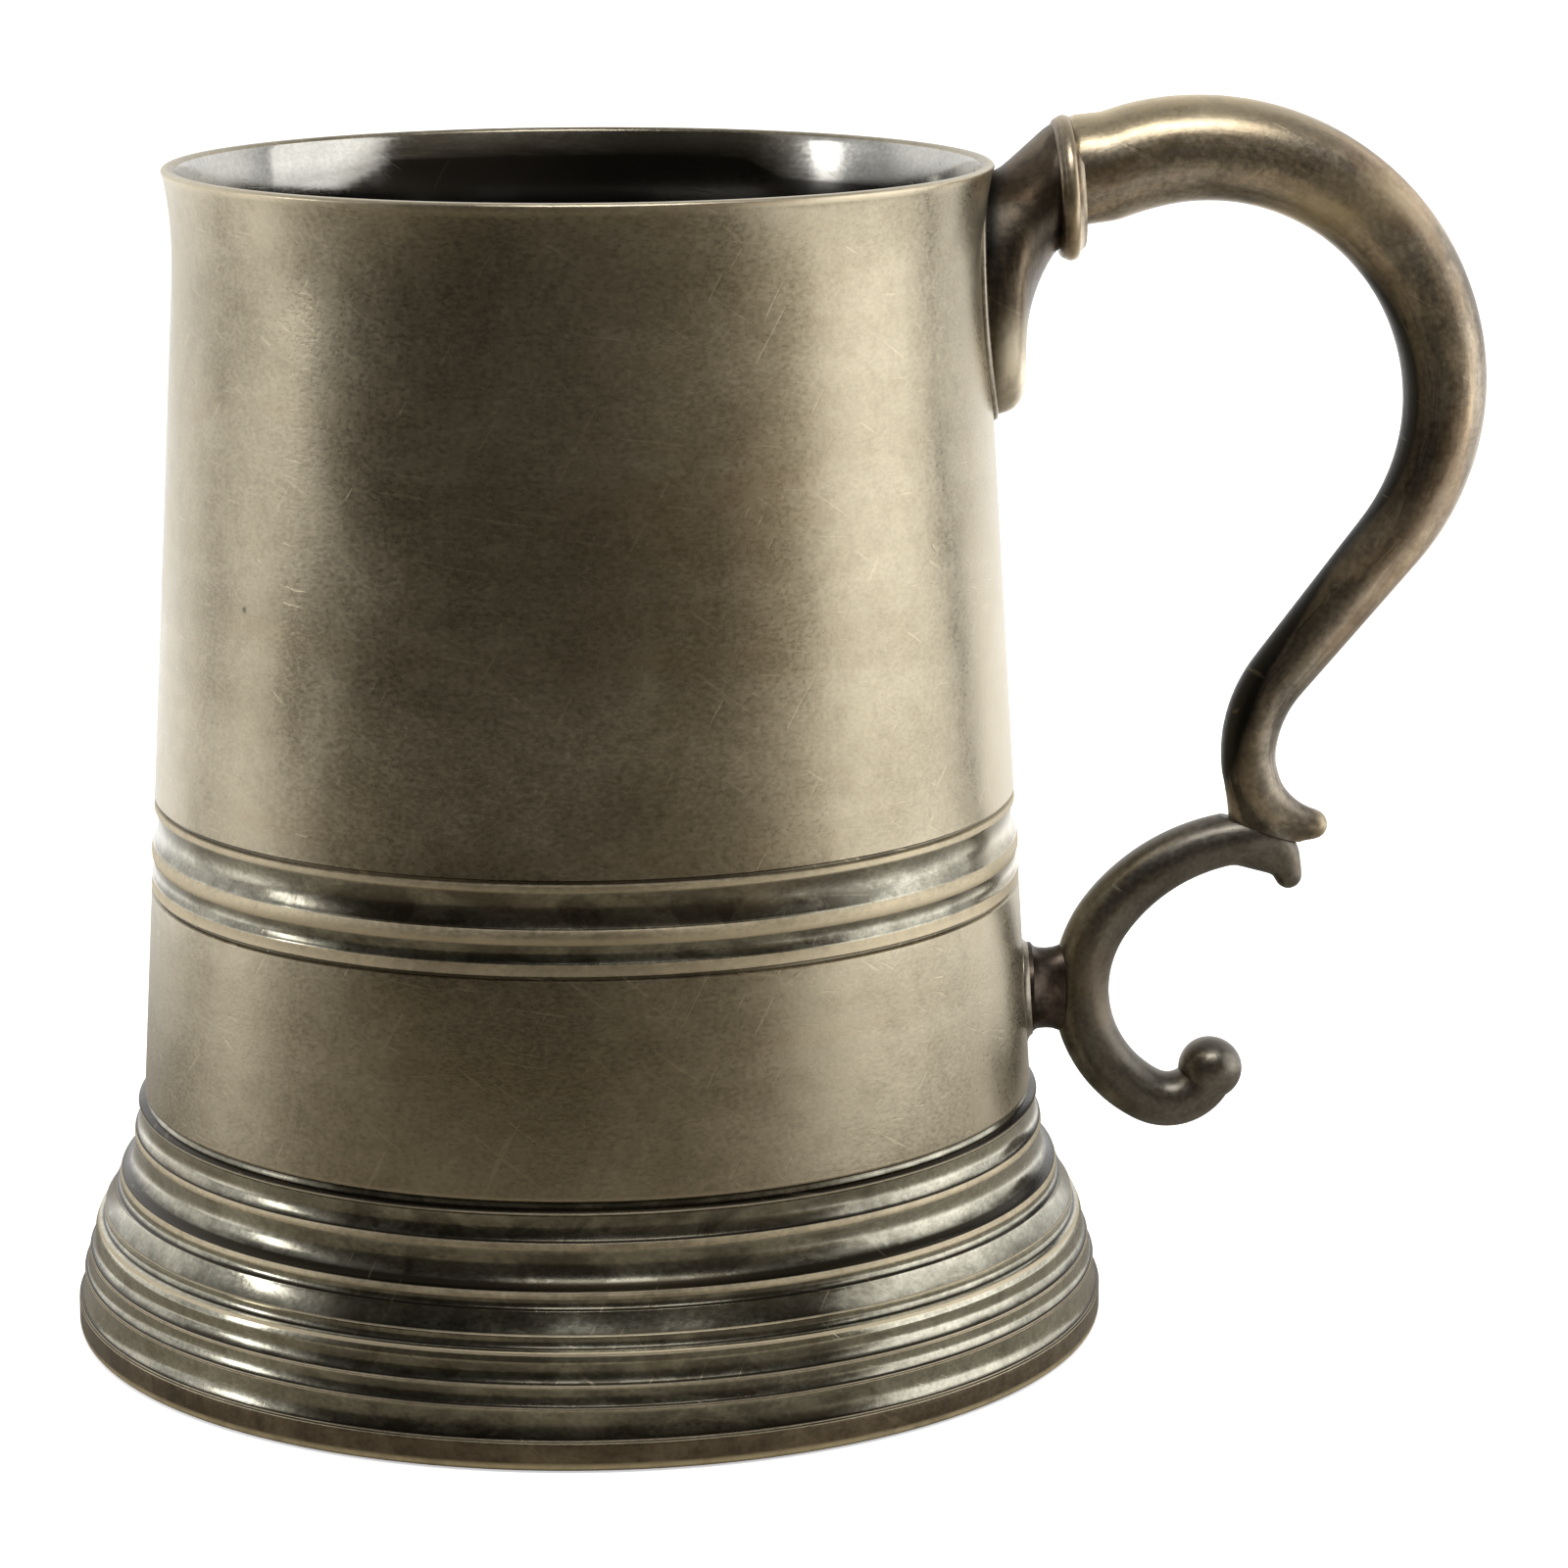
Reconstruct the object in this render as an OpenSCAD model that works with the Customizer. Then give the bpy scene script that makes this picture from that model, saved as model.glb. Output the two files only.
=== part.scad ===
// Glass-bottom drinking tankard with a stepped foot and a double-scroll handle.
// Millimetres, +Z up. The origin is on the drum's axis, on the table. The handle points along +X.

/* [Drum] */
// Height of the rim above the table
rim_height = 120; // [104:1:150]
// Outside radius of the drum at its narrowest, just under the lip
throat_r = 41; // [36:0.25:46]
// How far the lip flares out over the throat
lip_flare = 1; // [0.5:0.1:3]
// Height of the flared lip
lip_height = 8; // [5:0.5:14]
// Thickness of the lip at its edge
lip_edge = 1.2; // [0.8:0.1:1.8]
// How far the drum spreads from the throat down to the foot
drum_spread = 5.25; // [2:0.25:8]
// Thickness of the drum's wall
wall = 1.7; // [1.4:0.1:2.4]

/* [Moulded band] */
// Height of the middle of the bead above the table
band_z = 50.2; // [42:0.2:70]
// Height of the wide cove over the bead
upper_cove_h = 3.8; // [2:0.1:5]
// Height of the narrow cove under the bead
lower_cove_h = 2.1; // [1:0.1:4]
// Depth of the two coves
cove_depth = 0.55; // [0.2:0.05:0.8]
// Height of the bead
bead_h = 1.5; // [0.8:0.1:2.5]
// Height of the plain land between a cove and its groove
land_h = 1; // [0.5:0.1:2]
// Width of the two fine grooves
groove_w = 0.55; // [0.3:0.05:1]

/* [Foot] */
// Height of the foot
foot_height = 24.5; // [20:0.5:32]
// How far the foot spreads beyond the drum
foot_spread = 7.45; // [5:0.05:12]
// Depth of the shoulder that the foot butts against
shoulder = 0.7; // [0.4:0.1:1]
// Thickness of the hollow skirt
skirt_t = 2; // [1.4:0.1:3]
// Rounding of the bottom edge
edge_round = 0.5; // [0.3:0.05:1.4]
// Size of the solder fillet under the foot's collar
foot_fillet = 1.4; // [0.8:0.1:2]

/* [Glass bottom] */
// Thickness of the glass
glass_t = 5; // [3:0.5:7]
// Height of the bottom of the drum's spigot above the table
spigot_z = 7; // [4:0.5:9]
// Height of the ring that holds the glass
ring_h = 2.4; // [1.5:0.1:4]
// Width of the ledge that the glass seats under
ledge_w = 3.2; // [2:0.2:6]
// Thickness of the ledge
ledge_t = 1.6; // [1:0.1:3]
// Thickness of the bedding between the glass and the metal
bed_t = 0.6; // [0.3:0.1:1.2]

/* [Handle] */
// Depth of the collar's centre below the rim
root_drop = 2.9; // [1.5:0.1:5]
// Reach of the collar's centre from the drum
root_reach = 8.9; // [8:0.1:14]
// Rise of the handle where it leaves the collar, in degrees
root_rise = 32.5; // [20:0.5:40]
// Slope of the straight run that goes back towards the drum, in degrees
run_slope = 51.2; // [45:0.2:60]
// Radius of the bow below its widest point, as a share of its radius above
bow_close = 0.95; // [0.85:0.01:1]
// Radius of the handle at the collar
root_tube_r = 5.65; // [4:0.05:6.5]
// Radius of the handle at the top of the straight run
run_tube_r = 3.75; // [3:0.05:4.5]
// Radius of the handle just over the break
break_tube_r = 2.9; // [2.4:0.05:3.4]
// Radius of a leaf's tip
leaf_tip_r = 1.7; // [1:0.1:2.2]
// Radius of the bend over the break
break_bend_r = 13.5; // [11:0.5:20]
// Radius of the upper leaf's curl
leaf_bend_r = 7.25; // [5:0.25:9]
// Drop from the end of that bend to the crest of the lower scroll
break_drop = 8.2; // [7.5:0.05:9.5]
// Step outwards from the end of that bend to the crest
break_lead = 0.25; // [0:0.05:0.6]

/* [Socket and collar] */
// Outside radius of the collar
collar_r = 7.4; // [6.2:0.1:8]
// Width of the collar
collar_w = 2.6; // [1.6:0.1:4]
// Tilt of the collar, in degrees
collar_tilt = 4; // [0:1:20]
// Radius of the tenon that joins handle, collar and socket
tenon_r = 3.2; // [2:0.1:4]
// Depth of the tenon in the socket
tenon_depth = 4.2; // [2:0.1:5]
// Radius of the socket at the collar
socket_r = 5.8; // [5:0.1:6.8]
// Half width of the socket on the drum
socket_half_w = 9; // [7:0.25:12]
// Length of the socket's tongue below the collar's centre
tongue_drop = 23.2; // [18:0.2:30]
// Thickness of the tongue
tongue_t = 3.6; // [2:0.1:5]
// Width and height of the solder along the socket's edge
seam_r = 0.55; // [0.3:0.05:0.8]

/* [Lower scroll and strut] */
// Radius of the lower scroll
scroll_tube_r = 3; // [2.4:0.05:3.5]
// Radius of the long curve under the crest
scroll_crest_r = 20.3; // [16:0.1:24]
// Radius of the curve beside the strut
scroll_back_r = 13.25; // [11:0.25:15]
// Radius of the curl that carries the ball
scroll_curl_r = 4.6; // [4.2:0.1:6]
// Radius of the lower leaf's curl
lower_leaf_r = 3.8; // [3.4:0.1:5.5]
// Straight length of the lower leaf's tip
lower_leaf_len = 1; // [0.4:0.1:2]
// Radius of the ball
ball_r = 3.35; // [3:0.05:4.5]
// Height of the strut's centre above the top of the foot
strut_rise = 8.8; // [7:0.1:15]
// Free length of the strut between drum and scroll
strut_len = 3; // [2:0.1:7]
// Radius of the strut
strut_r = 4.35; // [3.6:0.05:5]
// Height of the solder bead around the strut
strut_seam = 0.6; // [0.3:0.1:1]

/* [Hidden] */
$fn = 96;

// Drum: straight taper from the foot to the throat, then a flare up to the lip.
throat_z = rim_height - lip_height;
lip_r = throat_r + lip_flare;
drum_base_r = throat_r + drum_spread;
foot_r = drum_base_r + foot_spread;
taper = (drum_base_r - throat_r) / (throat_z - foot_height);
lean = atan(taper);
lip_in = lip_r - lip_edge;
throat_in = throat_r - wall;
bore_r = drum_base_r - wall;
spigot_r = drum_base_r - shoulder;
function drum_r(z) = throat_r + (throat_z - z) * taper;
// Radius of a flare that leaves the taper at the throat and rises h while it widens by w.
function flare_r(w, h) = (w * w + h * h) / (2 * (w * cos(lean) + h * sin(lean)));

// Band: heights of its edges, from the bead outwards.
upper_cove_z = band_z + bead_h / 2 + upper_cove_h / 2;
lower_cove_z = band_z - bead_h / 2 - lower_cove_h / 2;
upper_groove_z = upper_cove_z + upper_cove_h / 2 + land_h;
lower_groove_z = lower_cove_z - lower_cove_h / 2 - land_h;

// Foot: a point at a share of the flare and a share of the height.
function on_foot(out, up) = [drum_base_r + (foot_r - drum_base_r) * out, foot_height * up];
// Top and bottom edge of each step, from the collar down.
steps = [
    [on_foot(0.09, 0.97), on_foot(0.09, 0.945)],
    [on_foot(0.15, 0.85), on_foot(0.16, 0.82)],
    [on_foot(0.36, 0.67), on_foot(0.38, 0.61)],
    [on_foot(0.44, 0.60), on_foot(0.60, 0.51)],
    [on_foot(0.70, 0.455), on_foot(0.74, 0.415)],
    [on_foot(0.82, 0.335), on_foot(0.83, 0.31)],
    [on_foot(0.90, 0.25), on_foot(0.91, 0.225)],
    [on_foot(0.98, 0.125), on_foot(1, 0.105)]];
// Depth of the cove under each of those steps.
step_coves = [0.4, 0.75, 0.08, 0.35, 0.3, 0.2, 0.25];
collar_low = foot_height * 0.7;

// Glass: stack from the ring up to the ledge.
glass_z = spigot_z + ring_h;
glass_r = bore_r - bed_t / 2;
ledge_z = glass_z + glass_t + bed_t;

// Handle, as points [x, z] in its own plane. Headings are degrees from +X towards +Z.
root_z = rim_height - root_drop;
root = [drum_r(root_z) + root_reach, root_z];
collar_axis = [cos(collar_tilt), sin(collar_tilt)];
run_heading = run_slope - 180;
break_heading = -88;
crest_heading = 184;
back_heading = 233.5;
curl_heading = 333;
ball_heading = 435;
leaf_turn = 85;
// Shift along an arc of radius one, between two headings, to the left or to the right.
function left_arc(a, b) = [sin(b) - sin(a), cos(a) - cos(b)];
function right_arc(a, b) = [sin(a) - sin(b), cos(b) - cos(a)];
function along(a) = [cos(a), sin(a)];
// The scroll's back stands off the drum by the strut. The bow and the run are sized to bring it there.
strut_z = foot_height + strut_rise;
back_pt = [drum_r(strut_z) + strut_len + scroll_tube_r, strut_z];
back_shift = scroll_crest_r * left_arc(crest_heading, back_heading) + scroll_back_r * left_arc(back_heading, 270);
break_shift = break_bend_r * left_arc(run_heading, break_heading);
need = back_pt - root - break_shift - [break_lead, -break_drop] - back_shift;
bow_step = right_arc(root_rise, -90) + bow_close * right_arc(-90, run_heading);
run_step = along(run_heading);
share = bow_step[0] * run_step[1] - bow_step[1] * run_step[0];
bow_r = (need[0] * run_step[1] - need[1] * run_step[0]) / share;
run_len = (bow_step[0] * need[1] - bow_step[1] * need[0]) / share;
side_pt = root + bow_r * right_arc(root_rise, -90);
run_pt = root + bow_r * bow_step;
bend_pt = run_pt + run_len * run_step;
break_pt = bend_pt + break_shift;
crest_pt = break_pt + [break_lead, -break_drop];
turn_pt = crest_pt + scroll_crest_r * left_arc(crest_heading, back_heading);
curl_pt = turn_pt + scroll_back_r * left_arc(back_heading, curl_heading);
ball_pt = curl_pt + scroll_curl_r * left_arc(curl_heading, ball_heading);
// The two scrolls meet on a sloping plane between their leaves.
seat_pt = break_pt + [1.8, -7.5];
seat_slope = -19.3;

// A ring of the handle: centre, tilt of its plane, half width across and half height in the plane.
function ring(p, tilt, across, high) = [p[0], p[1], tilt, across, high];
function smooth(t) = t * t * (3 - 2 * t);
function mix(a, b, t) = a + (b - a) * t;
// Rings of a rounded end of radius r that goes on from point p along heading h.
function round_end(p, h, r, n) = [for (i = [1 : n])
    ring(p + r * sin(88 * i / n) * along(h), h, r * cos(88 * i / n), r * cos(88 * i / n))];
function reverse(list) = [for (i = [len(list) - 1 : -1 : 0]) list[i]];

// Upper scroll: collar end, bow, straight run, bend over the break, leaf.
function bow_pt(h) = h > -90
    ? root + bow_r * right_arc(root_rise, h)
    : side_pt + bow_close * bow_r * right_arc(-90, h);
function bow_ring(t) = let (
        h = mix(root_rise, run_heading, t),
        r = mix(root_tube_r, run_tube_r, pow(t, 1.25)),
        face = mix(collar_tilt, h, smooth(min(1, t / 0.2))))
    ring(bow_pt(h), face, r, r);
function run_ring(t) = let (r = mix(run_tube_r, mix(run_tube_r, break_tube_r, 0.65), t))
    ring(run_pt + run_len * t * run_step, run_heading, r, r);
function bend_ring(t) = let (
        h = mix(run_heading, break_heading, t),
        r = mix(mix(run_tube_r, break_tube_r, 0.65), break_tube_r, t))
    ring(bend_pt + break_bend_r * left_arc(run_heading, h), h, r, r);
function leaf_ring(t) = let (
        h = break_heading + leaf_turn * t,
        r = mix(break_tube_r, leaf_tip_r, t * t))
    ring(break_pt + leaf_bend_r * left_arc(break_heading, h), h, r, r);
leaf_end = break_heading + leaf_turn;
leaf_pt = break_pt + leaf_bend_r * left_arc(break_heading, leaf_end);
upper_rings = concat(
    [ring(root + [collar_w / 2, root_tube_r * 0.3], collar_tilt, root_tube_r, root_tube_r)],
    [for (i = [3 : 44]) bow_ring(i / 44)],
    [for (i = [1 : 5]) run_ring(i / 5)],
    [for (i = [1 : 9]) bend_ring(i / 9)],
    [for (i = [1 : 14]) leaf_ring(i / 14)],
    round_end(leaf_pt, leaf_end, leaf_tip_r, 5));
// Its heel, which goes on straight down from the bend and stands on the lower scroll.
heel_rings = [
    ring(break_pt + [0, 1], break_heading, break_tube_r * 0.83, break_tube_r * 0.9),
    ring(break_pt + [0.3, -2.5], break_heading, break_tube_r * 0.86, break_tube_r * 1.04),
    ring(break_pt + [0.8, -5], break_heading, break_tube_r * 0.86, break_tube_r * 1.24),
    ring(break_pt + [1.1, -10], break_heading, break_tube_r * 0.86, break_tube_r * 1.31)];

// Lower scroll: leaf, crest, back, curl up into the ball.
function low_leaf_ring(t) = let (
        h = crest_heading - 180 - leaf_turn * t,
        r = mix(scroll_tube_r * 0.93, leaf_tip_r * 0.9, t))
    ring(crest_pt + lower_leaf_r * right_arc(crest_heading - 180, h), h + 180, r, r);
function scroll_ring(p, radius, a, b, t) = let (h = mix(a, b, t), r = scroll_tube_r * (0.93 + 0.07 * sin(h - 180)))
    ring(p + radius * left_arc(a, h), h, r, r);
function crest_ring(t) = let (h = mix(crest_heading, back_heading, t), r = scroll_tube_r * mix(0.93, 1, t))
    ring(crest_pt + scroll_crest_r * left_arc(crest_heading, h), h, r, r);
function back_ring(t) = let (h = mix(back_heading, curl_heading, t), r = scroll_tube_r * mix(1, 0.98, t * t))
    ring(turn_pt + scroll_back_r * left_arc(back_heading, h), h, r, r);
function curl_ring(t) = let (h = mix(curl_heading, ball_heading, t), r = scroll_tube_r * mix(0.98, 0.95, t))
    ring(curl_pt + scroll_curl_r * left_arc(curl_heading, h), h, r, r);
low_leaf_end = crest_heading - 180 - leaf_turn;
low_leaf_pt = crest_pt + lower_leaf_r * right_arc(crest_heading - 180, low_leaf_end) + lower_leaf_len * along(low_leaf_end);
low_tip = [for (q = round_end(low_leaf_pt, low_leaf_end, leaf_tip_r * 0.9, 5)) ring([q[0], q[1]], q[2] + 180, q[3], q[4])];
lower_rings = concat(
    reverse(low_tip),
    [for (i = [10 : -1 : 1]) low_leaf_ring(i / 10)],
    [for (i = [0 : 11]) crest_ring(i / 12)],
    [for (i = [0 : 17]) back_ring(i / 18)],
    [for (i = [0 : 12]) curl_ring(i / 12)]);
// The web that fills the hollow of its leaf.
web_rings = let (a = crest_pt - [1.5, 0.7], b = low_leaf_pt + [-0.6, 1.3], h = atan2(a[1] - b[1], a[0] - b[0])) [
    ring(b, h, leaf_tip_r * 0.9, leaf_tip_r * 0.9),
    ring(a, h, scroll_tube_r * 0.77, scroll_tube_r * 0.77)];

// Strut: a peg that spreads where it meets the drum and narrows to the scroll.
strut_base = drum_r(strut_z);
strut_rings = [
    ring([strut_base - 2, strut_z], 0, strut_r + 0.5, strut_r + 0.5),
    ring([strut_base + strut_seam + 0.1, strut_z], 0, strut_r + 0.5, strut_r + 0.5),
    ring([strut_base + strut_seam + 0.6, strut_z], 0, strut_r, strut_r),
    ring([strut_base + strut_len * 0.65, strut_z], 0, strut_r * 0.85, strut_r * 0.98),
    ring([strut_base + strut_len, strut_z], 0, strut_r * 0.7, strut_r),
    ring([strut_base + strut_len + 1.2, strut_z], 0, strut_r * 0.6, strut_r * 1.1)];

// Socket: rings between a line along its top and a line down its tongue.
tongue_x = drum_r(root_z - 16.5) + tongue_t;
tongue_top = root - collar_w / 2 * collar_axis + socket_r * along(90 + collar_tilt);
tongue_low = root - collar_w / 2 * collar_axis - socket_r * along(90 + collar_tilt);
hollow_r = (pow(tongue_low[0] - tongue_x, 2) + pow(tongue_low[1] - root_z + 16.5, 2)) / (2 * (tongue_low[0] - tongue_x));
hollow_turn = asin((tongue_low[1] - root_z + 16.5) / hollow_r);
// Its foot on the drum is an oval from just under the rim to the end of the tongue.
oval_top = rim_height - lip_height * 0.15;
oval_low = root_z - tongue_drop;
oval_z = (oval_top + oval_low) / 2;
oval_half = (oval_top - oval_low) / 2;
oval_x = drum_r(oval_z) + 0.9;
oval_sides = 36;
function oval(grow) = [for (k = [0 : oval_sides - 1]) let (a = 360 * k / oval_sides)
    [(socket_half_w + grow) * cos(a), oval_z + (oval_half + grow) * sin(a)]];
function hollow_pt(t) = [tongue_x + hollow_r, root_z - 16.5] + hollow_r * along(mix(180 - hollow_turn, 180, t));
function end_pt(t) = [mix(tongue_x, oval_x, 1 - cos(90 * t)), oval_low + 2.5 * (1 - sin(90 * t))];
function socket_ring(high, low, across) = let (
        d = high - low,
        size = norm(d))
    ring((high + low) / 2, atan2(-d[0], d[1]), across, size / 2);
function top_pt(t) = mix(tongue_top, [oval_x, oval_top], t);
socket_rings = concat(
    [ring([oval_x - 5, oval_z], 0, socket_half_w, oval_half)],
    [for (i = [4 : -1 : 0]) socket_ring(top_pt(0.8 + 0.05 * i), end_pt(i / 4), mix(socket_half_w - 1, socket_half_w, i / 4))],
    [for (i = [12 : -1 : 0]) let (t = i / 12)
        socket_ring(top_pt(0.76 * t), hollow_pt(t), mix(socket_r, socket_half_w - 1.2, t * t))]);

// Ring by ring mesh along a list of rings, with flat ends.
module sweep(rings, sides) {
    count = len(rings);
    points = [for (q = rings) for (k = [0 : sides - 1]) let (a = 360 * k / sides)
        [q[0] - q[4] * sin(q[2]) * sin(a), q[3] * cos(a), q[1] + q[4] * cos(q[2]) * sin(a)]];
    skin = [for (i = [0 : count - 2]) for (k = [0 : sides - 1]) let (
            a = i * sides + k,
            b = i * sides + (k + 1) % sides)
        each [[a, a + sides, b + sides], [a, b + sides, b]]];
    first = [for (k = [0 : sides - 1]) k];
    last = [for (k = [sides - 1 : -1 : 0]) (count - 1) * sides + k];
    polyhedron(points = points, faces = concat(skin, [first, last]));
}

// Round hollow cut between two points of an outline, as deep as asked.
module cove(a, b, depth) {
    chord = b - a;
    half = norm(chord) / 2;
    r = (half * half + depth * depth) / (2 * depth);
    out = [chord[1], -chord[0]] / (2 * half);
    translate((a + b) / 2 + out * (r - depth)) circle(r = r);
}

// The drum filled to its axis, or its inside, from a height up to the rim.
module filled(throat, lip, low) {
    wide = lip - throat;
    r = flare_r(wide, lip_height);
    difference() {
        polygon([[0, low], [throat + (throat_z - low) * taper, low], [throat, throat_z], [lip, throat_z],
            [lip, rim_height], [0, rim_height]]);
        translate([throat, throat_z] + r * along(lean)) circle(r = r);
    }
}

module drum_outside() {
    rotate_extrude($fn = 360) filled(throat_r, lip_r, foot_height);
}

module band_cut(z, h, depth) {
    cove([drum_r(z - h / 2), z - h / 2], [drum_r(z + h / 2), z + h / 2], depth);
}

// Moves from the handle's plane to the point p, with +Z turned along heading h.
module on_heading(p, h) {
    translate([p[0], 0, p[1]]) rotate([0, 90 - h, 0]) children();
}

// Half of space on one side of the plane where the two scrolls meet.
module seat_side(up) {
    on_heading(seat_pt, seat_slope + 90) translate([-20, -20, up ? 0 : -40]) cube([40, 40, 40]);
}

module body_drum() {
    color([0.45, 0.43, 0.39]) rotate_extrude() {
        difference() {
            filled(throat_r, lip_r, foot_height);
            difference() {
                filled(throat_in, lip_in, foot_height - 1);
                square([2 * lip_r, foot_height]);
            }
            square([bore_r, foot_height]);
            translate([0, rim_height - 0.01]) square([lip_in, 1]);
            band_cut(upper_cove_z, upper_cove_h, cove_depth);
            band_cut(lower_cove_z, lower_cove_h, cove_depth);
            band_cut(upper_groove_z, groove_w, groove_w * 0.45);
            band_cut(lower_groove_z, groove_w, groove_w * 0.45);
        }
        translate([bore_r, spigot_z]) square([spigot_r - bore_r, foot_height - spigot_z + 0.5]);
        translate([bore_r - ledge_w, ledge_z]) square([ledge_w + 0.3, ledge_t]);
    }
}

module foot_skirt() {
    low = steps[len(steps) - 1][1];
    edges = [for (s = steps) each s];
    sole_r = foot_r - edge_round - skirt_t * 0.8;
    color([0.5, 0.47, 0.41]) rotate_extrude() difference() {
        polygon(concat(
            [[spigot_r, foot_height], [drum_base_r - 0.25, foot_height]],
            edges,
            [[foot_r, 0], [sole_r, 0], [sole_r, low[1]],
                [steps[4][1][0] - skirt_t * 1.2, steps[5][0][1]],
                [steps[3][1][0] - skirt_t * 1.4, steps[3][1][1]],
                [spigot_r, collar_low]]));
        for (i = [0 : len(step_coves) - 1]) cove(steps[i + 1][0], steps[i][1], step_coves[i]);
        difference() {
            translate([foot_r - edge_round, -1]) square([edge_round + 1, edge_round + 1]);
            translate([foot_r - edge_round, edge_round]) circle(r = edge_round);
        }
    }
}

module foot_solder() {
    slope = atan2(collar_low - steps[3][1][1], steps[3][1][0] - skirt_t * 1.4 - spigot_r);
    color([0.6, 0.58, 0.53]) rotate_extrude() polygon([[spigot_r, collar_low],
        [spigot_r + foot_fillet * cos(slope), collar_low - foot_fillet * sin(slope)],
        [spigot_r, collar_low - foot_fillet * 2]]);
}

module glass_disc() {
    color([0.75, 0.85, 0.8, 0.4]) rotate_extrude() polygon([[0, glass_z], [glass_r - 0.5, glass_z],
        [glass_r, glass_z + 0.5], [glass_r, glass_z + glass_t - 0.5], [glass_r - 0.5, glass_z + glass_t],
        [0, glass_z + glass_t]]);
}

module glass_bedding() {
    color([0.75, 0.7, 0.6]) rotate_extrude() polygon([[bore_r, ledge_z], [bore_r - ledge_w, ledge_z],
        [bore_r - ledge_w, ledge_z - bed_t], [glass_r - 0.5, ledge_z - bed_t], [glass_r, ledge_z - bed_t - 0.5],
        [glass_r, glass_z + 0.5], [glass_r, glass_z], [bore_r, glass_z]]);
}

module retaining_ring() {
    color([0.55, 0.53, 0.48]) rotate_extrude() polygon([[bore_r, spigot_z], [bore_r, glass_z],
        [bore_r - ledge_w - 0.8, glass_z], [bore_r - ledge_w - 0.8, glass_z - ring_h * 0.4],
        [bore_r - ledge_w * 0.6, spigot_z]]);
}

module handle_socket() {
    color([0.4, 0.36, 0.3]) difference() {
        sweep(socket_rings, 36);
        drum_outside();
        on_heading(root - (collar_w / 2 + tenon_depth) * collar_axis, collar_tilt) cylinder(r = tenon_r, h = tenon_depth + 1);
    }
}

// Straight oval prism along +X, from inside the drum to past the solder.
module oval_bar(grow) {
    translate([oval_x - 6, 0, 0]) rotate([90, 0, 90]) linear_extrude(height = 12) polygon(oval(grow));
}

module socket_solder() {
    color([0.65, 0.6, 0.5]) difference() {
        intersection() {
            rotate_extrude($fn = 360) filled(throat_r + seam_r, lip_r + seam_r, oval_low - 3);
            oval_bar(seam_r);
        }
        drum_outside();
        oval_bar(0);
    }
}

module handle_collar() {
    color([0.5, 0.45, 0.36]) on_heading(root, collar_tilt) rotate_extrude() {
        translate([tenon_r, -collar_w / 2]) square([collar_r - collar_w / 2 - tenon_r, collar_w]);
        translate([collar_r - collar_w / 2, 0]) circle(r = collar_w / 2);
    }
}

module upper_scroll() {
    color([0.36, 0.32, 0.27]) {
        difference() {
            union() {
                sweep(upper_rings, 24);
                sweep(heel_rings, 20);
            }
            seat_side(false);
        }
        on_heading(root - (collar_w / 2 + tenon_depth) * collar_axis, collar_tilt)
            cylinder(r = tenon_r, h = tenon_depth + collar_w + 2);
    }
}

module lower_scroll() {
    color([0.38, 0.34, 0.28]) difference() {
        union() {
            sweep(lower_rings, 20);
            sweep(web_rings, 20);
        }
        seat_side(true);
        translate([ball_pt[0], 0, ball_pt[1]]) sphere(r = ball_r);
    }
}

module ball_finial() {
    color([0.42, 0.38, 0.32]) translate([ball_pt[0], 0, ball_pt[1]]) sphere(r = ball_r);
}

module handle_strut() {
    color([0.42, 0.33, 0.26]) difference() {
        sweep(strut_rings, 28);
        drum_outside();
        sweep(lower_rings, 20);
    }
}

module strut_solder() {
    color([0.65, 0.6, 0.5]) difference() {
        on_heading([strut_base - 2, strut_z], 0) cylinder(r1 = strut_r + 1.6, r2 = strut_r + 0.9, h = 2 + strut_seam);
        drum_outside();
        on_heading([strut_base - 3, strut_z], 0) cylinder(r = strut_r + 0.5, h = 8);
    }
}

body_drum();
foot_skirt();
foot_solder();
glass_disc();
glass_bedding();
retaining_ring();
handle_socket();
socket_solder();
handle_collar();
upper_scroll();
lower_scroll();
ball_finial();
handle_strut();
strut_solder();
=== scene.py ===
import bpy
import bmesh
import math
from mathutils import Matrix, Vector, kdtree


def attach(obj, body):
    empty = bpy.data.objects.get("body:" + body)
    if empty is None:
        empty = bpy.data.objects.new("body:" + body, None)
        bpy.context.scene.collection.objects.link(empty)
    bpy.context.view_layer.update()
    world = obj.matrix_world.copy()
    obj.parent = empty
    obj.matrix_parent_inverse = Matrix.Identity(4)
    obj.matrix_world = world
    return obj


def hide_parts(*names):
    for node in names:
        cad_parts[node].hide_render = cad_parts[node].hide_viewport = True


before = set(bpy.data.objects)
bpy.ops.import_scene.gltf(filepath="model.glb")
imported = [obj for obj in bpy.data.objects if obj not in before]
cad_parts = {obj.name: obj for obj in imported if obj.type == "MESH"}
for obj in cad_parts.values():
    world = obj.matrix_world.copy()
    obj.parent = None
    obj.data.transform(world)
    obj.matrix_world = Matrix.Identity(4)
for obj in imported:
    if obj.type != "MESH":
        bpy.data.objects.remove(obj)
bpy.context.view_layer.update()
scene = bpy.context.scene
mm = 0.001  # pieces are drawn in millimetres and scaled once at the end
print("frame loaded:", len(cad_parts), "nodes")


# node helpers
def newMaterial(name):
    material = bpy.data.materials.new(name)
    material.use_nodes = True
    tree = material.node_tree
    tree.nodes.clear()
    shader = tree.nodes.new("ShaderNodeBsdfPrincipled")
    output = tree.nodes.new("ShaderNodeOutputMaterial")
    tree.links.new(shader.outputs["BSDF"], output.inputs["Surface"])
    return material, tree, shader


def addNode(tree, kind, **settings):
    node = tree.nodes.new(kind)
    for key, value in settings.items():
        setattr(node, key, value)
    return node


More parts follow.
